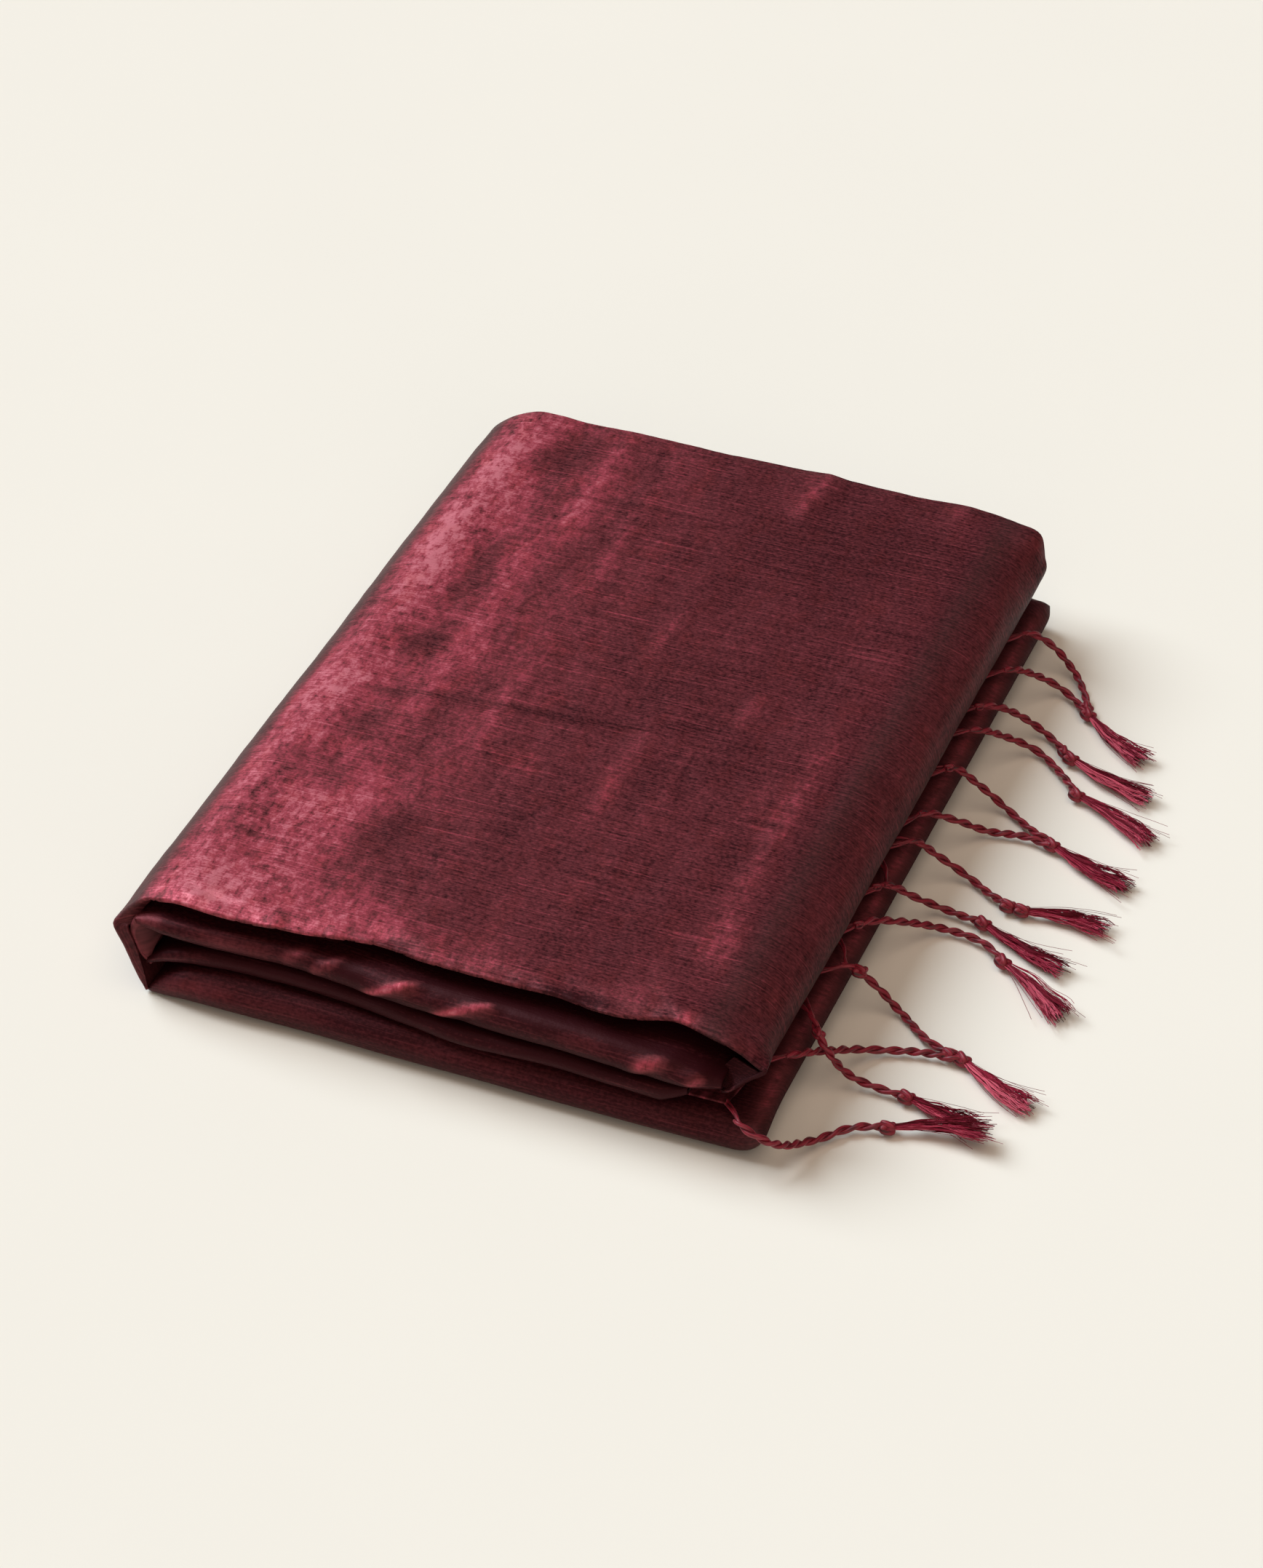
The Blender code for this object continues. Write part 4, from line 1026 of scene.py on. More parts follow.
def cover_surface(columns, rows, hem_rows):
    """The cover: its section is carried from the near to the far end, pinched at both ends, raised
    a little along the middle of the top, and turned in at both edges. Gives the points, the places
    (p, y) on the cloth, and how far each lies on the turned-in part."""
    section = dict(zip(COVER_COLUMNS, curve_through(list(COVER.values()), columns).T))
    flat = np.stack([section["x"], section["z"]], axis=-1)
    tangent = unit(np.gradient(flat, axis=0))
    across = run_along(flat)
    on_top = 1.0 / (1.0 + np.exp(-(section["z"] - CROWN_ABOVE_Z) / CROWN_SOFT))
    high = section["z"] > CROWN_ABOVE_Z
    p = across - np.interp(0.0, section["x"][high], across[high])
    reach = section["far_y"] - section["near_y"]
    near_run, near_in = turned_edge(section["turn_in"],
                                    NEAR_TURN_BACK + NEAR_TURN_BACK_TOP * on_top, hem_rows)
    far_turn = np.full(columns, FAR_TURN_IN)
    far_run, far_in = turned_edge(far_turn, far_turn, hem_rows)
    reach = reach[:, None]
    body = HEM_RADIUS + (reach - 2.0 * HEM_RADIUS) * end_spacing(rows)[None, 1:-1]
    run = np.concatenate([near_run, body, reach - far_run[:, ::-1]], axis=1)
    inwards = np.concatenate([near_in, np.zeros_like(body), far_in[:, ::-1]], axis=1)
    left = np.maximum(reach - run, 0.0)
    near = bell(np.maximum(run, 0.0), COVER_PINCH)
    far = bell(left, COVER_PINCH)
    wave, fine_wave = (ripples(p, 0.0 * p, seed, length, 10.0)[:, None]
                       for seed, length in COVER_EDGE_WAVES)
    lip = ((1.0 + 0.5 * wave + 0.25 * fine_wave) * bell(run, LIP_RUN)
           + FAR_LIP * bell(left, LIP_RUN))
    top = on_top[:, None]
    crown = COVER_CROWN * np.sin(math.pi * np.clip(run / reach, 0.0, 1.0))
    tall = {name: values[:, None] for name, values in section.items()}
    x = (tall["x"] + tall["near_dx"] * near + tall["far_dx"] * far + tangent[:, 1:] * inwards)
    z = (tall["z"] + tall["near_dz"] * near + tall["far_dz"] * far
         + (crown - LIP_DROOP * lip) * top - tangent[:, :1] * inwards)
    fade = np.exp(-np.maximum(run, 0.0) / EDGE_WAVE_RUN)
    y = tall["near_y"] + run + (0.35 * fine_wave + 0.25 * wave) * fade * top
    points = np.stack([x, y, z], axis=-1)
    return points, np.broadcast_to(p[:, None], y.shape), y, inwards


def make_cover(cloth):
    """The cover and its ridges, moved out along the surface's normals. Its near left part is painted
    lighter, by a bell of the distance across and exp(-distance along / run)."""
    points, p, y, inwards = cover_surface(**COVER_GRID)
    on_cloth = bell(inwards, HEM_RADIUS)
    rise = (streaks(p, y, COVER_RIDGES) + uneven(p, y, COVER_UNEVEN)) * on_cloth
    glow = (NEAR_GLOW["sheen"] * bell(p - NEAR_GLOW["p"], NEAR_GLOW["half_width"])
            * np.exp(-(y - NEAR_GLOW["y"]) / NEAR_GLOW["run"]))
    sheen = streaks(p, y, COVER_SHEEN) + along_table(SHEEN_ACROSS, p) + glow
    sheen = sheen * on_cloth + along_table(HEM_SHEEN, p) * (1.0 - on_cloth)
    grey = along_table(GREY_ACROSS, p) * on_cloth + HEM_GREY * (1.0 - on_cloth)
    points = points + grid_normals(points, (0.0, 0.0, 1.0)) * rise[..., None]
    uv = np.stack([p, y - inwards], axis=-1)
    return silk_piece("cover", "outer_wrap", cloth, points, uv, sheen, grey,
                      along_table(WEAVE_ACROSS, p), flip=True)


def make_tuck(cloth):
    """The tuck: straight lines from the roll's edge to a quadratic curve inside, hollowed in the
    middle."""
    along = np.linspace(0.0, 1.0, 40)[:, None, None]
    in_part = np.linspace(0.0, 1.0, 30)[None, :, None]
    start, end = np.array(TUCK_EDGE)
    first, middle, last = np.array(TUCK_INSIDE)
    edge = start + (end - start) * along
    inside = ((1.0 - along) ** 2 * first + 2.0 * along * (1.0 - along) * middle
              + along ** 2 * last)
    hollow = TUCK_HOLLOW * 16.0 * along * (1.0 - along) * in_part * (1.0 - in_part)
    points = edge + (inside - edge) * in_part + hollow * (0.0, 1.0, 0.0)
    uv = np.concatenate(np.broadcast_arrays(in_part * TUCK_THREADS["inwards"],
                                            along * TUCK_THREADS["along"]), axis=-1)
    # The tuck is painted in shade.
    return silk_piece("roll_tuck_cloth", "outer_wrap", cloth, points, uv, PLAIN_SHEEN["tuck"],
                      TUCK_GREY, PLAIN_WEAVE["tuck"])


def nose(inset, low, high, steps, legs):
    """A fold's section at the near end, from the upper sheet's inner end round a half ellipse to
    the lower sheet's. Gives y, z and the distance up from the nose's front."""
    front = -HALF_LENGTH + inset + 0.5 * SOLID_WALL
    low = low + 0.5 * SOLID_WALL
    high = high - 0.5 * SOLID_WALL
    half = 0.5 * (high - low)
    reach = min(NOSE_REACH * half, NOSE_REACH_MOST)
    angle = np.linspace(0.5 * math.pi, -0.5 * math.pi, steps)
    leg = np.linspace(-LEG_END, front + reach, legs + 1)[:-1]
    y = np.concatenate([leg, front + reach * (1.0 - np.cos(angle)), leg[::-1]])
    z = np.concatenate([np.full(legs, high), 0.5 * (low + high) + half * np.sin(angle),
                        np.full(legs, low)])
    run = run_along(np.stack([y, z], axis=-1))
    return y, z, run[legs + steps // 2] - run


def fold_surface(rows, columns, steps, legs):
    """A fold's near end: its section is carried along X. Gives x, y, z and the distance up from
    the nose's front."""
    sections = []
    for x, inset, low, high in curve_through(rows, columns, level=True):
        y, z, s = nose(inset, low, high, steps, legs)
        sections.append(np.stack([np.full_like(y, x), y, z, s], axis=-1))
    return np.array(sections)


def make_fold(cloth, name, side, rows):
    """One inner fold with its crumples, mirrored for the far end."""
    surface = fold_surface(rows, **FOLD_GRID)
    points = surface[..., :3]
    x = points[..., 0]
    s = surface[..., 3]
    seed = 20 + name_seed(name) % 50
    waves = [(height, seed + number, *lengths) for number, (height, *lengths) in enumerate(FOLD_UNEVEN)]
    rise = (streaks(x, s, FOLD_RIDGES[name]) + uneven(x, s, waves)) * np.exp(-(s / FOLD_FADE) ** 4)
    rise = (rise * rising(x, rows[0][0], FOLD_END_RUNS[0])
            * rising(x, rows[-1][0], -FOLD_END_RUNS[1]))
    points = points + grid_normals(points, (0.0, -1.0, 0.0)) * rise[..., None]
    # Beyond FOLD_HIDDEN_FROM round the nose, the fold is painted in shade where it lies in the gap. The
    # streaks of FOLD_SHEEN are painted glints.
    behind = rising(np.abs(s), FOLD_HIDDEN_FROM[name], HIDDEN_RUN)
    sheen = ((streaks(x, s, FOLD_SHEEN[name]) + FOLD_BASE_SHEEN[name]) * (1.0 - behind)
             + HIDDEN_SHEEN * behind)
    grey = FOLD_GREY["grey"] * bell(s - FOLD_GREY["s"], FOLD_GREY["half_width"])
    uv = np.stack([x, s + seed * 3.0], axis=-1)
    if side > 0:
        points = points * (1.0, -1.0, 1.0)
        points, uv, sheen, grey = (values[::-1] for values in (points, uv, sheen, grey))
    return silk_piece(name + "_cloth", name, cloth, points, uv, sheen, grey, PLAIN_WEAVE["fold"],
                      flip=True)


def make_base(cloth):
    """The lowest fold: a bag whose section goes round its near nose, its underside and its far
    nose, carried along X to a crest. Its right end bulges near and is drawn in far, each by a bell
    of the distance from that end."""
    near = fold_surface(BASE, **BASE_GRID)
    far = near[:, ::-1] * (1.0, -1.0, 1.0, 1.0) + (0.0, 0.0, 0.0, FAR_SIDE)
    surface = np.concatenate([near, far], axis=1)
    crest = surface[-1].copy()
    crest[:, 0] = BASE_CREST["x"]
    crest[:, 1] = np.clip(crest[:, 1], -BASE_CREST["half_y"], BASE_CREST["half_y"])
    crest[:, 2] = BASE_CREST["z"]
    surface = np.concatenate([surface, crest[None]])
    points = surface[..., :3]
    s = surface[..., 3]
    near_corner = bell(points[..., 1] + HALF_LENGTH, BASE_CORNER["run"])
    far_corner = bell(HALF_LENGTH - points[..., 1], BASE_CORNER["far_run"])
    out = rising(points[..., 0], BASE_CORNER["from_x"], BASE_CORNER["over"])
    points[..., 0] += ((BASE_CORNER["flare"] * near_corner - BASE_CORNER["far_cut"] * far_corner)
                       * out * out * (3.0 - 2.0 * out))
    x = points[..., 0]
    up = np.where(s > 0.5 * FAR_SIDE, s - FAR_SIDE, s)
    rise = streaks(x, up, BASE_RIDGES) + uneven(x, s, BASE_UNEVEN)
    rise = rise * rising(points[..., 2], *BASE_FADE_Z)
    for fade in BASE_FADES_X:
        rise = rise * rising(x, *fade)
    points = points + grid_normals(points, (0.0, 0.0, -1.0)) * rise[..., None]
    # Painted streaks of sheen, on a painted shade over the whole fold
    sheen = streaks(x, up, BASE_SHEEN) + PLAIN_SHEEN["base"]
    grey = BASE_NOSE_GREY["grey"] * bell(up - BASE_NOSE_GREY["s"], BASE_NOSE_GREY["half_width"])
    uv = np.stack([x, s], axis=-1)
    uv = np.concatenate([uv, uv[:, :1] + (0.0, BASE_OPEN_RUN)], axis=1)
    return silk_piece("base_fold_cloth", "base_fold", cloth, points, uv, sheen,
                      grey + along_table(BASE_GREY, x), PLAIN_WEAVE["base"], loop=True)


def make_spine(cloth):
    """The left side of the inner layers, carried from the near to the far end. Its near end turns in
    as a facet that is widest below its head."""
    section = dict(zip(SPINE_COLUMNS, curve_through(list(SPINE.values()), SPINE_GRID["columns"]).T))
    near_run, near_in = turned_edge(section["turn_in"], SPINE_TURN_BACK * section["turn_in"],
                                    SPINE_GRID["hem_rows"])
    reach = section["far_y"] - section["near_y"]
    body = HEM_RADIUS + (reach[:, None] - HEM_RADIUS) * end_spacing(SPINE_GRID["rows"])[None, 1:]
    run = np.concatenate([near_run, body], axis=1)
    inwards = np.concatenate([near_in, np.zeros_like(body)], axis=1)
    y = section["near_y"][:, None] + run
    z = np.broadcast_to(section["z"][:, None], y.shape)
    x = section["x"][:, None] + uneven(z, y, SPINE_UNEVEN) + inwards
    # The facet is painted darker the farther it turns in, as painted shade in its recess.
    sheen = PLAIN_SHEEN["spine"] - SPINE_SHADE * inwards
    grey = SPINE_GREY + FACET_GREY * (1.0 - bell(inwards, FACET_RUN))
    return silk_piece("inner_spine_cloth", "inner_spine", cloth, np.stack([x, y, z], axis=-1),
                      np.stack([z, y - inwards], axis=-1), sheen, grey, PLAIN_WEAVE["spine"],
                      flip=True)


def rounded_outline(x0, x1, y0, y1, radius):
    """Points round a rectangle with round corners, evenly spaced."""
    turn = np.linspace(0.0, 0.5 * math.pi, 7)
    sides = []
    for corner, (cx, cy) in enumerate(((x1, y1), (x0, y1), (x0, y0), (x1, y0))):
        angle = turn + corner * 0.5 * math.pi
        ox = cx - radius if cx == x1 else cx + radius
        oy = cy - radius if cy == y1 else cy + radius
        sides.append(np.stack([ox + radius * np.cos(angle), oy + radius * np.sin(angle)], axis=-1))
    closed = np.concatenate([*sides, sides[0][:1]])
    run = run_along(closed)
    even = np.linspace(0.0, run[-1], LAYER_POINTS + 1)[:-1]
    return np.stack([np.interp(even, run, closed[:, axis]) for axis in (0, 1)], axis=-1)


def make_layers(cloth):
    """The hidden layers: groups of thin sheets that lie on each other, each drawn in or out a
    little at its edge. A sheet is a rounded outline, its inset copies above and below, and lids."""
    points = []
    faces = []
    lids = []
    start = 0
    draw = np.random.default_rng(LAYER_SEED)
    count = LAYER_POINTS
    angle = np.linspace(0.0, 2.0 * math.pi, count, endpoint=False)
    for x0, x1, y0, y1, z0, z1, layers in LAYERS.values():
        outline = rounded_outline(x0, x1, y0, y1, LAYER_CORNER)
        centre = outline.mean(axis=0)
        away = outline - centre
        for z in np.linspace(z0, z1 - LAYER_THICK, layers):
            wave = 0.6 * np.sin(3.0 * angle + draw.uniform(0.0, 6.0)) + draw.uniform(-1.6, 0.4)
            pull = 1.0 + (wave / np.linalg.norm(away, axis=1))[:, None]
            for inset, share in LAYER_RINGS:
                points.append(np.column_stack([centre + away * pull * inset,
                                               np.full(count, z + share * LAYER_THICK)]))
            faces.append(grid_faces(len(LAYER_RINGS), count, loop=True)[:, ::-1] + start)
            lids.append(np.arange(count)[::-1] + start)
            start += len(LAYER_RINGS) * count
            lids.append(np.arange(start - count, start))
    points = np.concatenate(points)
    faces = [np.concatenate(faces), np.array(lids)]
    corners = np.concatenate([part.ravel() for part in faces])
    # The hidden layers are painted in shade.
    piece = make_piece("inner_layers", points, faces, points[corners][:, :2],
                       [material_named("shot_dupion_silk", shot_silk, cloth)],
                       sheen=np.full(len(points), PLAIN_SHEEN["layers"]))
    return dress(piece, SILK_SLOT, "hidden_layers")


def make_border(cloth):
    """The edge of the tasselled end: a narrow strip that waves a little between its tassels, and
    runs out to the left in a thin curved tongue at the near end."""
    across = np.linspace(0.0, 1.0, BORDER_GRID["columns"])[None, :]
    y = np.linspace(BORDER["y0"], BORDER["y1"], BORDER_GRID["rows"])[:, None]
    tongue = bell(y - BORDER["y0"], TONGUE["run"])
    inner = BORDER["x0"] - TONGUE["out"] * tongue
    edge = BORDER["x1"] + uneven(y, 0.0 * y, BORDER_EDGE_WAVES) - TONGUE["back"] * tongue
    x = inner + (edge - inner) * across
    y = np.broadcast_to(y, x.shape)
    lift = across * uneven(y, 0.0 * y, BORDER_LIFT) - TONGUE["drop"] * tongue * (1.0 - across)
    points = np.stack([x, y, BORDER["z"] + lift], axis=-1)
    sheen = PLAIN_SHEEN["border"] + uneven(y, x, BORDER_GLEAM)
    return silk_piece("tasselled_edge", "pallu_edge", cloth, points, points[..., :2], sheen, 0.0,
                      PLAIN_WEAVE["border"])


class Strands:
    """Collects tubes into the arrays of one mesh."""

    def __init__(self):
        self.points = []
        self.tones = []
        self.groups = {}
        self.count = 0

    def add_faces(self, group, faces, uv, look):
        """Add faces to a group, in which all have the same number of corners."""
        rows = self.groups.setdefault(group, [])
        rows.append((faces + self.count, uv, np.full(len(faces), look)))

    def tube(self, path, radius, sides, look, tone=0.5, closed=False, offset=0.0):
        """A tube along a path: rings of `sides` points square to it, each set from its tangent and a
        fixed guide direction, with flat ends, or joined end to end when closed."""
        path = np.asarray(path, float)
        count = len(path)
        if closed:
            tangent = unit(np.roll(path, -1, axis=0) - np.roll(path, 1, axis=0))
        else:
            tangent = unit(np.gradient(path, axis=0))
        steep = abs(tangent[0, 2]) >= 0.9
        across, up = square_to(tangent, (1.0, 0.0, 0.0) if steep else (0.0, 0.0, 1.0))
        angle = (np.arange(sides) * 2.0 * math.pi / sides)[None, :, None]
        radius = np.broadcast_to(radius, count)[:, None, None]
        points = path[:, None] + (np.cos(angle) * across[:, None] + np.sin(angle) * up[:, None]) * radius
        faces = grid_faces(count + 1 if closed else count, sides, loop=True) % (count * sides)
        run = run_along(np.concatenate([path, path[:1]]) if closed else path)
        round_it = np.linspace(0.0, 2.0 * math.pi * float(radius.mean()), sides + 1) + offset
        self.add_faces("sides", faces, grid_uv(np.stack(np.meshgrid(run, round_it, indexing="ij"),
                                                        axis=-1)), look)
        if not closed:
            caps = np.array([np.arange(sides)[::-1], np.arange(sides) + (count - 1) * sides])
            self.add_faces(sides, caps, np.zeros((2 * sides, 2)), look)
        self.points.append(points.reshape(-1, 3))
        self.tones.append(np.full(count * sides, tone))
        self.count += count * sides

    def make(self, name, materials):
        """One mesh object of all the tubes."""
        groups = [[np.concatenate(part) for part in zip(*rows)] for rows in self.groups.values()]
        faces, uv, looks = zip(*groups)
        return make_piece(name, np.concatenate(self.points), faces, np.concatenate(uv), materials,
                          sheen=np.concatenate(self.tones), looks=np.concatenate(looks))


def gather_yarns(strands, cord, seed):
    """The loose yarns that a cord starts with: smooth curves from their places along the cloth's
    edge to the place where the twist begins."""
    draw = np.random.default_rng(seed)
    root, edge, drop = (np.array(cord[point]) for point in ("root", "edge", "drop"))
    for away in cord["fan"]:
        start = root + (draw.uniform(-2.4, 0.2), away, draw.uniform(0.0, 0.3))
        middle = root + 0.55 * (edge - root) + (0.0, 0.5 * away, draw.uniform(0.4, 1.3))
        end = edge + (draw.uniform(-0.5, 0.5), draw.uniform(-0.6, 0.6), draw.uniform(-0.3, 0.5))
        inside = edge + 0.4 * (drop - edge) + (0.0, draw.uniform(-0.3, 0.3), 0.0)
        path = curve_through([start, middle, end, inside], 18, across=3)
        strands.tube(path, YARN_RADIUS * draw.uniform(0.85, 1.15), 6, CORD_LOOK, offset=away)


def twist(strands, path, fringe, start_turn):
    """Two plies round a path: each goes round it at the plies' radius, half a turn from the other,
    and swells where it crosses over the top. They start a little thinner."""
    run = run_along(path)
    fine = np.linspace(0.0, run[-1], max(12, int(run[-1] / TWIST_STEP)))
    line = np.stack([np.interp(fine, run, path[:, axis]) for axis in range(3)], axis=-1)
    across, up = square_to(unit(np.gradient(line, axis=0)))
    ply = fringe.ply / MM
    pitch = fringe.turn / MM
    uneven_turn = TURN_UNEVEN * np.sin(fine / TURN_RUN + start_turn)
    turn = 2.0 * math.pi * (fine / pitch + uneven_turn) + start_turn
    grown = PLY_START + (1.0 - PLY_START) * rising(fine, 0.0, PLY_START_RUN)
    for half in (0.0, math.pi):
        angle = turn + half
        offset = across * np.cos(angle)[:, None] + up * np.sin(angle)[:, None]
        middle = line + PLY_APART * ply * grown[:, None] * offset
        radius = ply * grown * (0.96 + 0.12 * np.sin(angle) + 0.05 * np.sin(fine / 5.0 + half))
        middle[:, 2] = np.maximum(middle[:, 2], ply + TABLE_CLEARANCE)
        strands.tube(middle, radius, 9, CORD_LOOK, offset=half)


def tie_knot(strands, centre, direction, size):
    """An overhand knot: a strand along a trefoil, flattened and drawn out along the cord's
    direction."""
    turn = np.linspace(0.0, 2.0 * math.pi, 72, endpoint=False)
    x = np.sin(turn) + 2.0 * np.sin(2.0 * turn)
    y = np.cos(turn) - 2.0 * np.cos(2.0 * turn)
    z = -np.sin(3.0 * turn)
    side, up = square_to(direction)
    scale = size / 3.0
    thick = KNOT_SHAPE["strand"] * size
    path = centre + (np.outer(KNOT_SHAPE["across"] * x * scale, side)
                     + np.outer(KNOT_SHAPE["up"] * y * scale, up)
                     + np.outer(KNOT_SHAPE["along"] * z * scale, direction))
    path[:, 2] = np.maximum(path[:, 2], thick + TABLE_CLEARANCE)
    strands.tube(path, thick, 10, CORD_LOOK, closed=True)


def hang_brush(strands, name, place, knot, fringe):
    """The loose yarn ends below a knot. Each yarn starts in the knot on a spiral and widens with
    a power of its run. Its fibres start together, open out a little towards their tips and wave
    with it. Single fibres stray to the sides in shallow arcs."""
    draw = np.random.default_rng(BRUSH_SEED + name_seed(name))
    axis = np.array([place["tip_x"], place["tip_y"], place["tip_z"]]) - knot
    length = np.linalg.norm(axis)
    axis = axis / length
    across, up = square_to(axis)
    part = np.linspace(0.0, 1.0, 15)
    wide = BRUSH_ROOT_WIDE + (place["spread"] - BRUSH_ROOT_WIDE) * part ** BRUSH_WIDENS
    high = BRUSH_ROOT_HIGH + (BRUSH_TIP_HIGH - BRUSH_ROOT_HIGH) * part
    bend = place["bend"] * np.sin(math.pi * part)
    hair = fringe.hair / MM

    def crinkle(most):
        """A wave that grows with the power 0.6 of the run."""
        return (draw.uniform(0.35, 1.0) * most * part ** 0.6
                * np.sin(draw.uniform(8.0, 19.0) * part + draw.uniform(0.0, 6.3)))

    def lay(a, b, reach, radius, tone, drift, bow, kink):
        """A fibre at the share a of the brush's width and b of its height."""
        sway = bow * np.sin(math.pi * part) + drift * part ** 1.6
        path = (knot + axis * (1.0 + (reach - 1.0) * part)[:, None]
                + across * (a * wide + sway + bend + kink)[:, None]
                + up * (b * high + 0.7 * kink[::-1] * part)[:, None])
        path[:, 2] = np.maximum(path[:, 2], np.max(radius) + TABLE_CLEARANCE)
        strands.tube(path, radius, 4, YARN_LOOK, tone=tone)

    for yarn in range(fringe.yarns):
        out = BRUSH_FILL * math.sqrt((yarn + 0.5) / fringe.yarns)
        turn = yarn * GOLDEN_TURN
        drift = draw.uniform(-1.0, 1.0)
        bow = draw.uniform(-0.9, 0.9)
        # A yarn's tone is its own, at random, plus its tassel's painted shade or light.
        tone = YARN_TONES[yarn % len(YARN_TONES)] + draw.uniform(-0.1, 0.1) + place["shade"]
        reach = length * draw.uniform(0.9, 1.0)
        shared = crinkle(1.05)
        for fibre in range(fringe.hairs):
            away = math.sqrt((fibre + 0.5) / fringe.hairs) * (YARN_OPEN + YARN_OPENS * part)
            angle = fibre * GOLDEN_TURN + yarn
            a = out * math.cos(turn) + away * math.cos(angle)
            b = out * math.sin(turn) + away * math.sin(angle)
            radius = hair * draw.uniform(0.75, 1.2) * (1.0 - 0.2 * part)
            lay(a, b, reach * draw.uniform(0.86, 1.03), radius,
                np.clip(tone + draw.uniform(-0.16, 0.16), 0.0, 1.0),
                drift + draw.uniform(-0.9, 0.9), bow + draw.uniform(-0.4, 0.4),
                shared + crinkle(0.4))
    for _ in range(STRAYS):
        side = draw.choice((-1.0, 1.0)) * draw.uniform(0.3, 1.0)
        lay(0.6 * side, draw.uniform(-0.3, 0.8), length * draw.uniform(0.82, 1.12), hair * STRAY_THIN,
            draw.uniform(0.1, 0.35), side * draw.uniform(2.0, 10.5), draw.uniform(-2.2, 2.2),
            crinkle(0.12))


def make_tassel(fringe, name, row):
    """One tassel: its cords' loose yarns and twists, its knots and its brush."""
    place = dict(zip(TASSEL_COLUMNS, row))
    knot = np.array([place["knot_x"], place["knot_y"], KNOT_Z])
    direction = unit(np.array([place["tip_x"], place["tip_y"], KNOT_Z]) - knot)
    strands = Strands()
    seed = name_seed(name)
    cords = [dict(zip(CORD_COLUMNS, values)) for values in CORDS if values[0] == name]
    for number, cord in enumerate(cords):
        beside = CORD_SPREAD * (0.5 * (len(cords) - 1) - number)
        route = [cord[point] for point in CORD_COLUMNS[2:]]
        route.append(tuple(knot + (CORD_SLANT * beside, beside, 0.0)))
        path = curve_through(route, 120, across=3)
        begin = max(int(np.argmin(np.linalg.norm(path - cord["edge"], axis=1))) - 4, 0)
        gather_yarns(strands, cord, seed + 7 * number)
        twist(strands, path[begin:], fringe, 1.9 * number + 0.8 * seed)
    tie_knot(strands, knot, direction, fringe.knot / MM)
    for owner, x, y, z, turn, size in SMALL_KNOTS:
        if owner == name:
            tie_knot(strands, np.array([x, y, z]), np.array([math.cos(turn), math.sin(turn), 0.0]),
                     size)
    hang_brush(strands, name, place, knot, fringe)
    materials = [material_named("twisted_silk_cord", twisted_silk, fringe),
                 material_named("loose_silk_yarn", loose_yarn, fringe)]
    return dress(strands.make(name + "_fringe", materials), FRINGE_SLOT, name)


def cloth_area(piece):
    """Half the area of a thickened piece, as its flat cut has."""
    depsgraph = bpy.context.evaluated_depsgraph_get()
    shape = piece.evaluated_get(depsgraph)
    mesh = shape.to_mesh()
    areas = np.empty(len(mesh.polygons))
    mesh.polygons.foreach_get("area", areas)
    shape.to_mesh_clear()
    return 0.5 * float(areas.sum())


def state_cut(piece, length):
    """Work out a piece's flat cut: the width that its area gives for its length in metres. The width is
    not kept.
    """
    width = cloth_area(piece) / length


class SAREE_OT_cover(bpy.types.Operator):
    """Make the stretch that covers the packet, and the tuck that closes its near right end"""
    bl_idname = "saree.cover"
    bl_label = "Cover"

    def execute(self, context):
        cloth = context.scene.saree_cloth
        state_cut(make_cover(cloth), PACKET_LENGTH)
        state_cut(make_tuck(cloth), TUCK_LENGTH * MM)
        return {"FINISHED"}


class SAREE_OT_folds(bpy.types.Operator):
    """Make the inner folds at both ends"""
    bl_idname = "saree.folds"
    bl_label = "Inner folds"

    def execute(self, context):
        for name, values in FOLDS.items():
            piece = make_fold(context.scene.saree_cloth, name, **values)
            length = (values["rows"][-1][0] - values["rows"][0][0]) * MM
            state_cut(piece, length)
        return {"FINISHED"}


class SAREE_OT_base(bpy.types.Operator):
    """Make the lowest fold, which lies on the table"""
    bl_idname = "saree.base"
    bl_label = "Lowest fold"

    def execute(self, context):
        piece = make_base(context.scene.saree_cloth)
        state_cut(piece, (BASE_CREST["x"] - BASE[0][0]) * MM)
        return {"FINISHED"}


class SAREE_OT_spine(bpy.types.Operator):
    """Make the left side of the inner layers"""
    bl_idname = "saree.spine"
    bl_label = "Inner left side"

    def execute(self, context):
        state_cut(make_spine(context.scene.saree_cloth), PACKET_LENGTH)
        return {"FINISHED"}


class SAREE_OT_layers(bpy.types.Operator):
    """Make the layers inside the packet"""
    bl_idname = "saree.layers"
    bl_label = "Hidden layers"

    def execute(self, context):
        state_cut(make_layers(context.scene.saree_cloth), PACKET_LENGTH)
        return {"FINISHED"}


class SAREE_OT_fringe(bpy.types.Operator):
    """Make the tasselled edge and its tassels"""
    bl_idname = "saree.fringe"
    bl_label = "Tasselled edge"

    def execute(self, context):
        tassels = [make_tassel(context.scene.saree_fringe, name, row)
                   for name, row in TASSELS.items()]
        edge = make_border(context.scene.saree_cloth)
        state_cut(edge, (BORDER["y1"] - BORDER["y0"]) * MM)
        return {"FINISHED"}


def place_in_scene(name, data):
    """Make an object of a camera or a light."""
    obj = bpy.data.objects.new(name, data)
    bpy.context.scene.collection.objects.link(obj)
    return obj


def aim(obj, place, target):
    """Put an object at a place, with its -Z axis on the target and its Y axis upwards."""
    back = unit(np.subtract(place, target))
    right = unit(np.cross((0.0, 0.0, 1.0), back))
    matrix = np.eye(4)
    matrix[:3] = np.column_stack([right, np.cross(back, right), back, place])
    obj.matrix_world = Matrix(matrix.tolist())


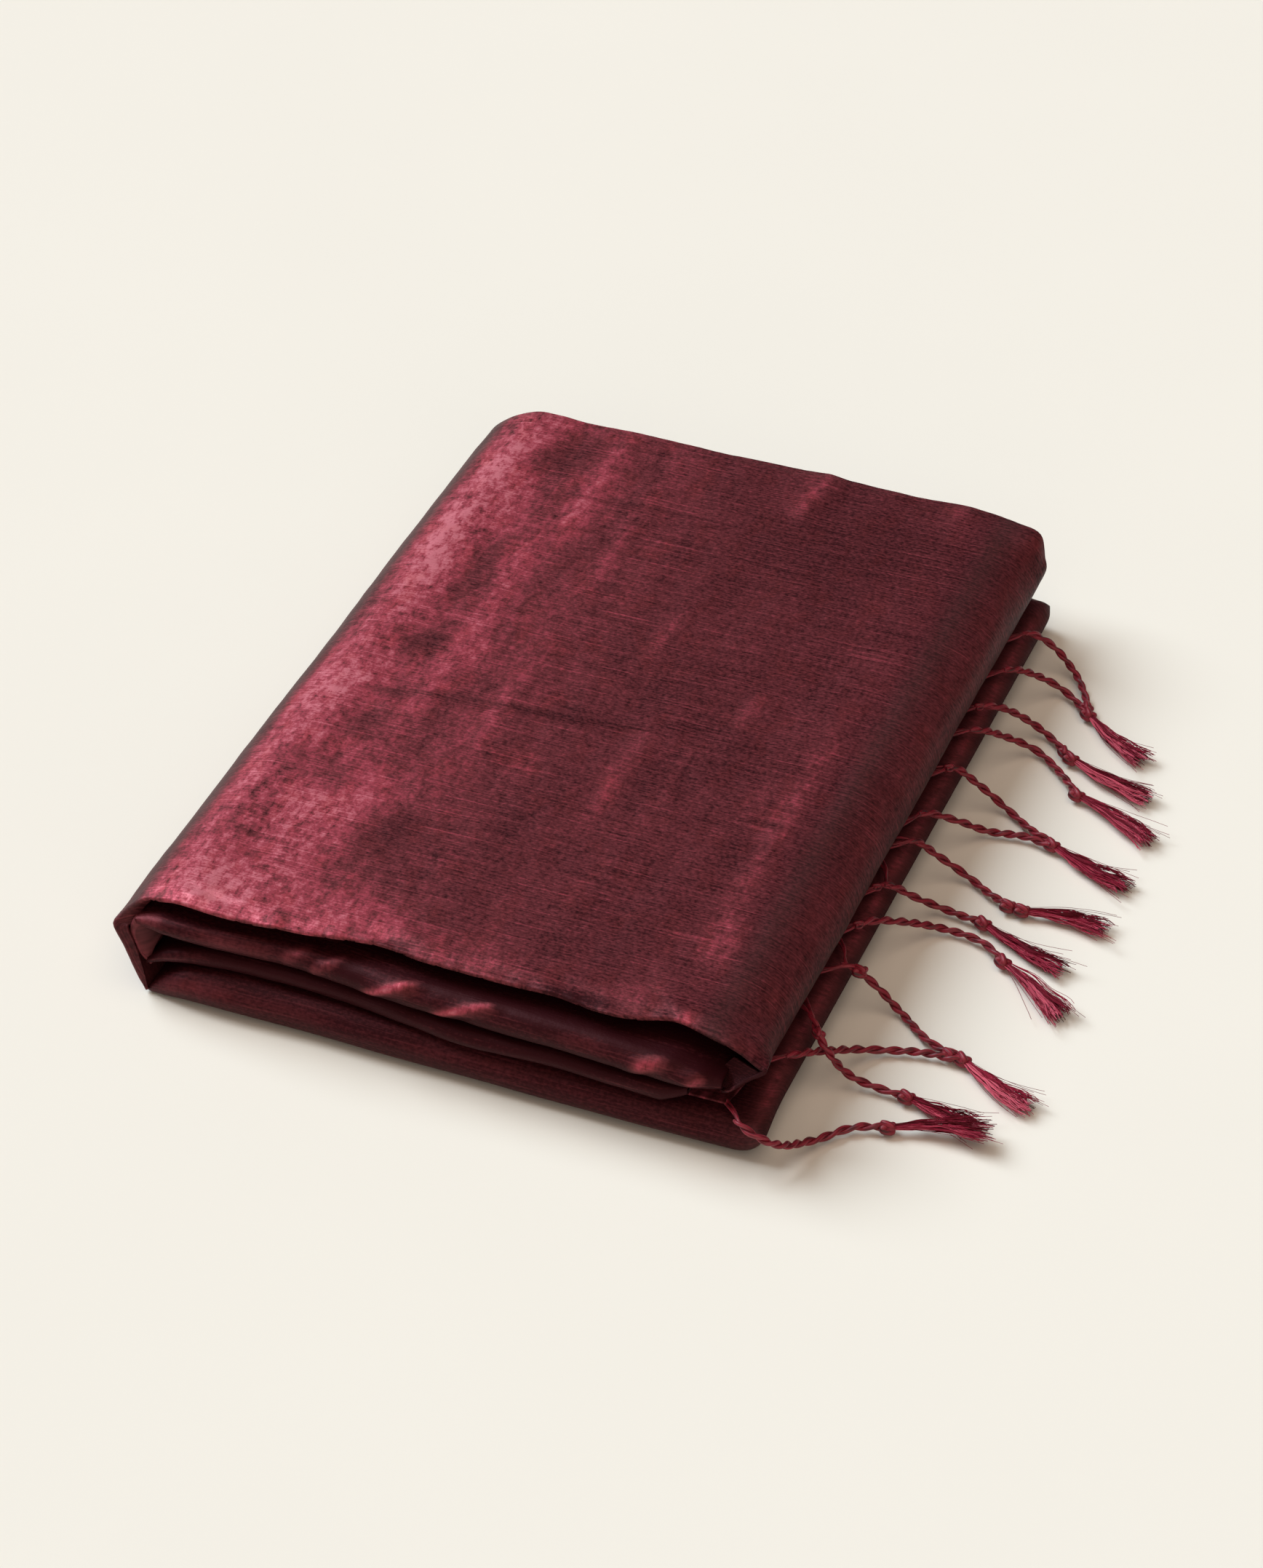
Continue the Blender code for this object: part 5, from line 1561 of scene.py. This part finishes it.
class SAREE_OT_stage(bpy.types.Operator):
    """Make the camera, the lights and the table top"""
    bl_idname = "saree.stage"
    bl_label = "Stage"

    def execute(self, context):
        scene = context.scene
        camera = bpy.data.cameras.new("camera")
        camera.lens = LENS_MM
        camera.sensor_width = SENSOR_MM
        camera.clip_end = VIEW_CLIP_END
        scene.camera = place_in_scene("camera", camera)
        flat = VIEW_DISTANCE * math.cos(VIEW_ELEVATION)
        aim(scene.camera, (VIEW_TARGET[0] + flat * math.sin(VIEW_AZIMUTH),
                           VIEW_TARGET[1] - flat * math.cos(VIEW_AZIMUTH),
                           VIEW_TARGET[2] + VIEW_DISTANCE * math.sin(VIEW_ELEVATION)), VIEW_TARGET)
        corners = np.array([(-1, -1), (1, -1), (1, 1), (-1, 1)]) * TABLE_HALF
        top = make_piece("table_top", np.column_stack([corners, np.full(4, TABLE_Z)]),
                         [np.array([[0, 1, 2, 3]])], corners, [matt_paper("matt_paper")])
        for name, (direction, spread, power, colour) in LIGHTS.items():
            light = bpy.data.lights.new(name, "SUN")
            light.angle = math.radians(spread)
            light.energy = power
            light.color = linear(colour)[:3]
            aim(place_in_scene(name, light), direction, (0.0, 0.0, 0.0))
        world = bpy.data.worlds.new("room")
        world.use_nodes = True
        set_inputs(world.node_tree, world.node_tree.nodes["Background"],
                   {"Color": linear("#ffffff"), "Strength": ROOM_STRENGTH})
        scene.world = world
        scene.view_settings.view_transform = "Standard"
        return {"FINISHED"}


class SAREE_PT_panel(bpy.types.Panel):
    """The saree's settings and pieces"""
    bl_idname = "SAREE_PT_panel"
    bl_label = "Folded Saree"
    bl_space_type = "VIEW_3D"
    bl_region_type = "UI"
    bl_category = "Saree"

    def draw(self, context):
        for settings in (context.scene.saree_cloth, context.scene.saree_fringe):
            column = self.layout.column(align=True)
            for name in settings.__annotations__:
                column.prop(settings, name)
        for operator in OPERATORS:
            self.layout.operator(operator.bl_idname)


OPERATORS = (SAREE_OT_stage, SAREE_OT_cover, SAREE_OT_folds, SAREE_OT_spine, SAREE_OT_base,
             SAREE_OT_layers, SAREE_OT_fringe)
CLASSES = (SareeCloth, SareeFringe, *OPERATORS, SAREE_PT_panel)


def register():
    for cls in CLASSES:
        bpy.utils.register_class(cls)
    bpy.types.Scene.saree_cloth = bpy.props.PointerProperty(type=SareeCloth)
    bpy.types.Scene.saree_fringe = bpy.props.PointerProperty(type=SareeFringe)


def unregister():
    del bpy.types.Scene.saree_fringe
    del bpy.types.Scene.saree_cloth
    for cls in reversed(CLASSES):
        bpy.utils.unregister_class(cls)


def main():
    register()
    bpy.ops.saree.stage()
    bpy.ops.saree.cover()
    bpy.ops.saree.folds()
    bpy.ops.saree.spine()
    bpy.ops.saree.base()
    bpy.ops.saree.layers()
    bpy.ops.saree.fringe()
    bpy.context.view_layer.update()


if __name__ == "__main__":
    main()
